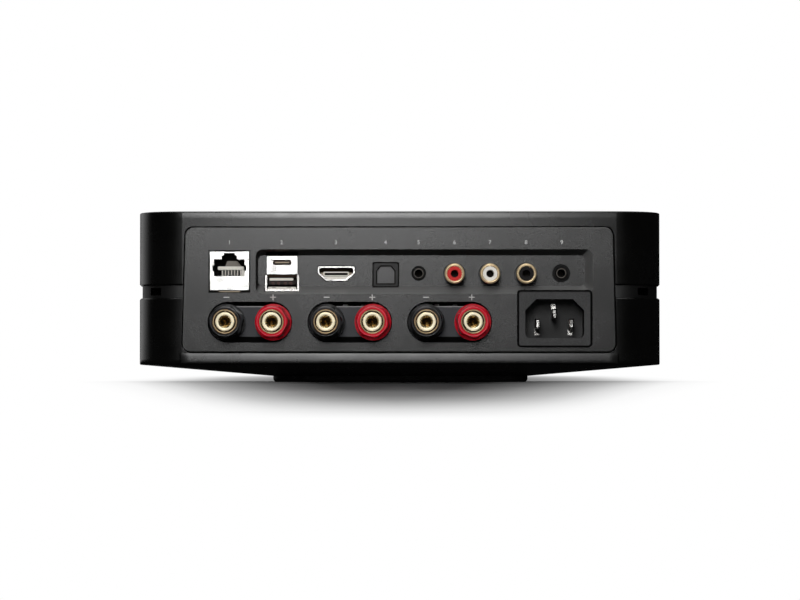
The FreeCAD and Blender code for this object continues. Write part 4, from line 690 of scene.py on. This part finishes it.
prism("av_floor", AV_FLOOR, -83.3, AV_DEEP, "lining_light")
prism("av_back", AV_BACK, -82.6, AV_DEEP, "lining_tan")
outer = cushion(-31.5, -20.8, 43.9, 45.65, 0.5)
inner = cushion(-31.0, -21.3, 44.2, 45.2, 0.35)
tube("av_tongue", outer, inner, -83.4, AV_DEEP, "lining_light")
prism("av_slot", cushion(-30.95, -21.35, 44.22, 45.18, 0.33), -83.0, AV_DEEP, "black_lining_and_shade")
tube("av_seam", av_line(0.32), av_line(0.02), -83.3, -82.9, "black_lining_and_shade")


# The optical socket: a black seam ring round it and a black groove ring round the shutter, both painted
# shade for the gaps, and a rib on the shutter

OPTICAL_HOUSE = [(-9.65, 40.35), (-1.55, 40.35), (-1.55, 46.2), (-3.35, 48.3), (-7.85, 48.3), (-9.65, 46.2)]
OPTICAL_INNER = [(-9.15, 40.85), (-2.05, 40.85), (-2.05, 45.95), (-3.6, 47.8), (-7.6, 47.8), (-9.15, 45.95)]
RIB_PROUD = 0.12
RIB_SUNK = 0.3

outer = cushion(-11.15, -0.05, 39.1, 49.7, 1.1)
inner = cushion(-10.6, -0.6, 39.65, 49.15, 0.8)
tube("optical_seam", outer, inner, -83.35, -82.9, "black_lining_and_shade")
tube("optical_groove", OPTICAL_HOUSE, OPTICAL_INNER, -83.36, -83.2, "black_lining_and_shade")
shutter_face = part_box("optical_shutter")[0].y / MM
prism("shutter_rib", cushion(-7.5, -3.7, 42.0, 47.4, 0.4), shutter_face - RIB_PROUD, shutter_face + RIB_SUNK,
      "shutter_grey", "shutter")


# The jacks, each with its x and its nose's radius: a black seam ring round the nose as painted shade for the
# gap, and a light ring round the bore

JACKS = (("mini", 8.0, 2.7), ("remote", 67.0, 2.45))
JACK_Z = 45.0
JACK_DEEP = -82.9
SEAM_OUTSIDE = 0.3
SEAM_INSIDE = 0.15
RING_OUTER = 1.95
RING_INNER = 1.75

for name, x, radius in JACKS:
    outer = circle(x, JACK_Z, radius + SEAM_OUTSIDE)
    inner = circle(x, JACK_Z, radius - SEAM_INSIDE)
    tube(name + "_jack_seam", outer, inner, -83.9, JACK_DEEP, "black_lining_and_shade")
    outer = circle(x, JACK_Z, RING_OUTER)
    inner = circle(x, JACK_Z, RING_INNER)
    tube(name + "_jack_ring", outer, inner, -84.4, JACK_DEEP, "lining_grey")


# Turned faces: the phono rings, the posts' ends and their bowls, and on each cap a dark ring in the gap round
# its insert as painted shade, the ring of its insert, and a thin bead on its front edge painted lighter than
# the cap as a painted highlight. Their sections are radius and depth.

PHONO_XS = (("red", 22.8), ("white", 37.4), ("black", 52.3))
PHONO_Z = 44.5
PHONO_RING = ((3.0, -94.4), (3.02, -94.9), (3.2, -95.2), (3.55, -95.32), (3.85, -95.2), (4.1, -94.9),
              (4.2, -94.4))
POST_XS = (-71.025, -51.975, -29.875, -10.825, 11.275, 30.325)
POST_Z = 24.65
POST_FACE = ((2.55, -102.8), (2.6, -103.2), (2.8, -103.36), (3.3, -103.4), (3.7, -103.35), (3.88, -103.15),
             (3.92, -102.8))
POST_BOWL = ((0.02, -101.2), (1.2, -101.35), (2.1, -102.0), (2.58, -103.1), (2.62, -102.4), (2.62, -101.0),
             (0.02, -100.8))
INSERT_GAP = ((3.98, -103.0), (4.0, -103.16), (4.5, -103.16), (4.52, -103.0))
INSERT_RING = circle(4.68, -103.1, 0.14, BEAD_STEPS)
CAP_EDGE = circle(5.9, -103.45, 0.1, BEAD_STEPS)

for name, x in PHONO_XS:
    turned("phono_ring_" + name, x, PHONO_Z, PHONO_RING, "ring_gold")
for number, x in enumerate(POST_XS, start=1):
    red = number % 2 == 0
    end = "_" + str(number)
    cap = "cap" + end
    turned("post_face" + end, x, POST_Z, POST_FACE, "post_face")
    turned("post_bowl" + end, x, POST_Z, POST_BOWL, "bowl_brass")
    # A dark ring in the gap round the insert: painted shade
    turned("insert_gap" + end, x, POST_Z, INSERT_GAP, "lining_brown", cap)
    turned("insert_ring" + end, x, POST_Z, INSERT_RING, "ring_gold", cap)
    # A bead on the cap's front edge, painted lighter than the cap: a painted highlight
    turned("cap_edge" + end, x, POST_Z, CAP_EDGE, "edge_pink" if red else "edge_grey",
           cap)


# Painted shade: black pieces in the inlet's seam and in the gap under each terminal block

BLOCK_XS = (-61.5, -20.35, 20.8)
BLOCK_HALF = 13.0
BLOCK_HEIGHTS = (16.5, 18.7)

outer = cushion(48.65, 79.55, 14.25, 37.9, 1.2)
inner = cushion(49.42, 78.78, 15.02, 37.18, 0.7)
tube("inlet_seam_shade", outer, inner, -88.95, -87.5, "painted_shade_black")
for block, x in enumerate(BLOCK_XS, start=1):
    outline = bar(x, BLOCK_HALF, BLOCK_HEIGHTS, 0.5)
    prism("block_gap_shade_" + str(block), outline, -85.8, -85.4, "painted_shade_black")


# The backdrop that smooth surfaces mirror stands behind the object and to its left, with a dark card
# straight behind. Each goes from its first white to its second between two cosines of the angle from
# its middle.

BACKDROP_MIDDLE = (-0.57, 0.82, 0.0)
BACKDROP_EDGES = (0.7, 1.0)
BACKDROP_WHITE = (0.004, 0.75)
BEHIND = (0.0, 1.0, 0.0)
CARD_EDGES = (0.84, 0.92)
CARD_WHITE = (1.0, 0.12)


def backdrop_share(graph, direction):
    """How white the mirrored backdrop is in that direction."""
    backdrop = graph.spread(graph.dot(direction, BACKDROP_MIDDLE), *BACKDROP_EDGES, *BACKDROP_WHITE)
    card = graph.spread(graph.dot(direction, BEHIND), *CARD_EDGES, *CARD_WHITE)
    return graph.math("MULTIPLY", backdrop, card)


# Floor: flat under the foot, falling towards the camera and rising a little behind, as depth and height

FLOOR_PROFILE = ((-3000.0, -263.3), (-1000.0, -83.3), (-400.0, -29.3), (-180.0, -9.5), (-150.0, -6.9),
                 (-120.0, -4.4), (-100.0, -2.9), (-85.0, -1.7), (-70.0, -0.8), (-58.0, -0.2), (-48.0, 0.0),
                 (48.0, 0.0), (120.0, 0.6), (200.0, 1.6), (300.0, 3.0), (600.0, 6.0), (4000.0, 20.0))
FLOOR_HALF = 4000.0
# The paper is grey, darker than the white beyond it, as part of the painted shadow
PAPER = (0.18, 0.18, 0.18, 1.0)
WHITE = (1.0, 1.0, 1.0, 1.0)

# Painted shadow, partly real: round the foot the floor shows its grey paper with the lamps' real shadow on
# it, and beyond that it is painted white, so the shape of this fade is a painted shadow. It fades out in
# front
# or behind, and to the sides: distance and share of white. Behind, distances count only by SHADOW_BACK, and
# the shadow gets narrower by its lean, in front and behind.

SHADOW_REACH = 230.0
SHADOW_BACK = 0.55
SHADOW_LEAN = 0.35
SHADOW_LEAN_BACK = 0.16
SHADOW_DEPTH = ((111, 0.0), (133, 0.03), (152, 0.14), (173, 0.39), (194, 0.68), (218, 0.93), (226, 1.0))
SHADOW_SIDE = ((55, 0.0), (72, 0.06), (80, 0.1), (90, 0.19), (100, 0.3), (108, 0.4), (116, 0.55), (122, 0.68),
               (128, 0.78), (137, 0.92), (149, 0.98), (156, 1.0))


def fading(graph, distance, stops):
    """The share of white left over by the shadow at that distance, which is in m."""
    node = graph.add("ShaderNodeValToRGB")
    graph.put(node, "Fac", graph.math("DIVIDE", distance, SHADOW_REACH * MM))
    ramp = node.color_ramp
    ramp.elements[0].position = stops[0][0] / SHADOW_REACH
    ramp.elements[1].position = stops[-1][0] / SHADOW_REACH
    for place, share in stops[1:-1]:
        ramp.elements.new(place / SHADOW_REACH)
    for element, (place, share) in zip(ramp.elements, stops):
        element.color = (share, share, share, 1.0)
    return node.outputs["Color"]


mesh = bmesh.new()
rows = []
for depth, level in FLOOR_PROFILE:
    rows.append([mesh.verts.new(Vector((x, depth, level)) * MM) for x in (-FLOOR_HALF, FLOOR_HALF)])
for near_row, far_row in zip(rows, rows[1:]):
    mesh.faces.new((near_row[0], near_row[1], far_row[1], far_row[0]))
for face in mesh.faces:
    face.smooth = True
floor_data = bpy.data.meshes.new("floor")
mesh.to_mesh(floor_data)
mesh.free()
floor = bpy.data.objects.new("floor", floor_data)
scene.collection.objects.link(floor)

floor_material = bpy.data.materials.new("floor")
graph = Graph(floor_material)
place = graph.add("ShaderNodeTexCoord").outputs["Object"]
parts = graph.add("ShaderNodeSeparateXYZ", Vector=place).outputs
ahead = graph.math("MINIMUM", parts["Y"], 0.0)
behind = graph.math("MULTIPLY", graph.math("MAXIMUM", parts["Y"], 0.0), SHADOW_BACK)
depth = graph.math("SUBTRACT", behind, ahead)
lean = graph.math("SUBTRACT", graph.math("MULTIPLY", behind, SHADOW_LEAN_BACK),
                  graph.math("MULTIPLY", ahead, SHADOW_LEAN))
across = graph.math("ADD", graph.math("ABSOLUTE", parts["X"]), lean)
dark_depth = graph.math("SUBTRACT", 1.0, fading(graph, depth, SHADOW_DEPTH))
dark_side = graph.math("SUBTRACT", 1.0, fading(graph, across, SHADOW_SIDE))
# Painted shadow: the camera sees the grey paper round the foot and painted white away from it
whitening = graph.math("SUBTRACT", 1.0, graph.math("MULTIPLY", dark_depth, dark_side))
ray = graph.add("ShaderNodeLightPath").outputs
mirrored = graph.math("MAXIMUM", ray["Is Glossy Ray"], ray["Is Transmission Ray"])
whitened = graph.math("MAXIMUM", graph.math("MULTIPLY", ray["Is Camera Ray"], whitening), mirrored)
outward = graph.add("ShaderNodeVectorMath", {"operation": "NORMALIZE"})
graph.put(outward, "0", place)
paper = graph.add("ShaderNodeBsdfDiffuse", Color=PAPER)
white = graph.add("ShaderNodeEmission", Color=WHITE)
graph.put(white, "Strength",
          graph.math("MAXIMUM", ray["Is Camera Ray"], backdrop_share(graph, outward.outputs["Vector"])))
blend = graph.add("ShaderNodeMixShader")
graph.put(blend, "0", whitened)
graph.put(blend, "1", paper.outputs[0])
graph.put(blend, "2", white.outputs[0])
graph.put(graph.add("ShaderNodeOutputMaterial"), "Surface", blend.outputs[0])
floor_data.materials.append(floor_material)


# The world: white for the camera, the backdrop in smooth surfaces, and on rough ones a light from
# behind, which grows between two cosines of the angle from straight behind

FRONT_LIGHT = 0.03
BACK_LIGHT = 0.8
LIGHT_EDGES = (-0.1, 0.3)

world = bpy.data.worlds.new("studio")
scene.world = world
graph = Graph(world)
direction = graph.add("ShaderNodeTexCoord").outputs["Generated"]
ray = graph.add("ShaderNodeLightPath").outputs
reflected = graph.math("MAXIMUM", ray["Is Glossy Ray"], ray["Is Transmission Ray"])
shown = graph.math("ADD", graph.math("MULTIPLY", reflected, backdrop_share(graph, direction)),
                   ray["Is Camera Ray"])
unseen = graph.math("SUBTRACT", 1.0, graph.math("MAXIMUM", ray["Is Camera Ray"], reflected))
from_behind = graph.spread(graph.dot(direction, BEHIND), *LIGHT_EDGES, FRONT_LIGHT, BACK_LIGHT)
strength = graph.math("ADD", shown, graph.math("MULTIPLY", unseen, from_behind))
background = graph.add("ShaderNodeBackground", Color=WHITE)
graph.put(background, "Strength", strength)
graph.put(graph.add("ShaderNodeOutputWorld"), "Surface", background.outputs[0])


def lamp(name, place, target, width, height, radiance, sheen=True):
    """A rectangular soft box at place, aimed at target; a plain surface it fills looks as bright as radiance.

    Without sheen it lights surfaces but isn't mirrored in them.
    """
    data = bpy.data.lights.new(name, "AREA")
    data.shape = "RECTANGLE"
    data.size = width * MM
    data.size_y = height * MM
    data.energy = radiance * math.pi * data.size * data.size_y
    box = bpy.data.objects.new(name, data)
    box.location = Vector(place) * MM
    aim = Vector(target) - Vector(place)
    box.rotation_euler = aim.to_track_quat("-Z", "Y").to_euler()
    box.visible_glossy = sheen
    scene.collection.objects.link(box)


lamp("camera_strip", (-75, -1640, 345), (-75, 0, 345), 300, 300, 15.5)
lamp("upper_strip", (-120, -1560, 640), (-120, 0, 40), 330, 420, 13.0)
lamp("front_fill", (0, -1500, 60), (0, 0, 35), 1600, 700, 3.0, sheen=False)
lamp("far_box", (0, 950, 1500), (0, 0, 0), 1500, 700, 3.0)
lamp("top_box", (0, 0, 1500), (0, 0, 0), 1100, 900, 3.5)
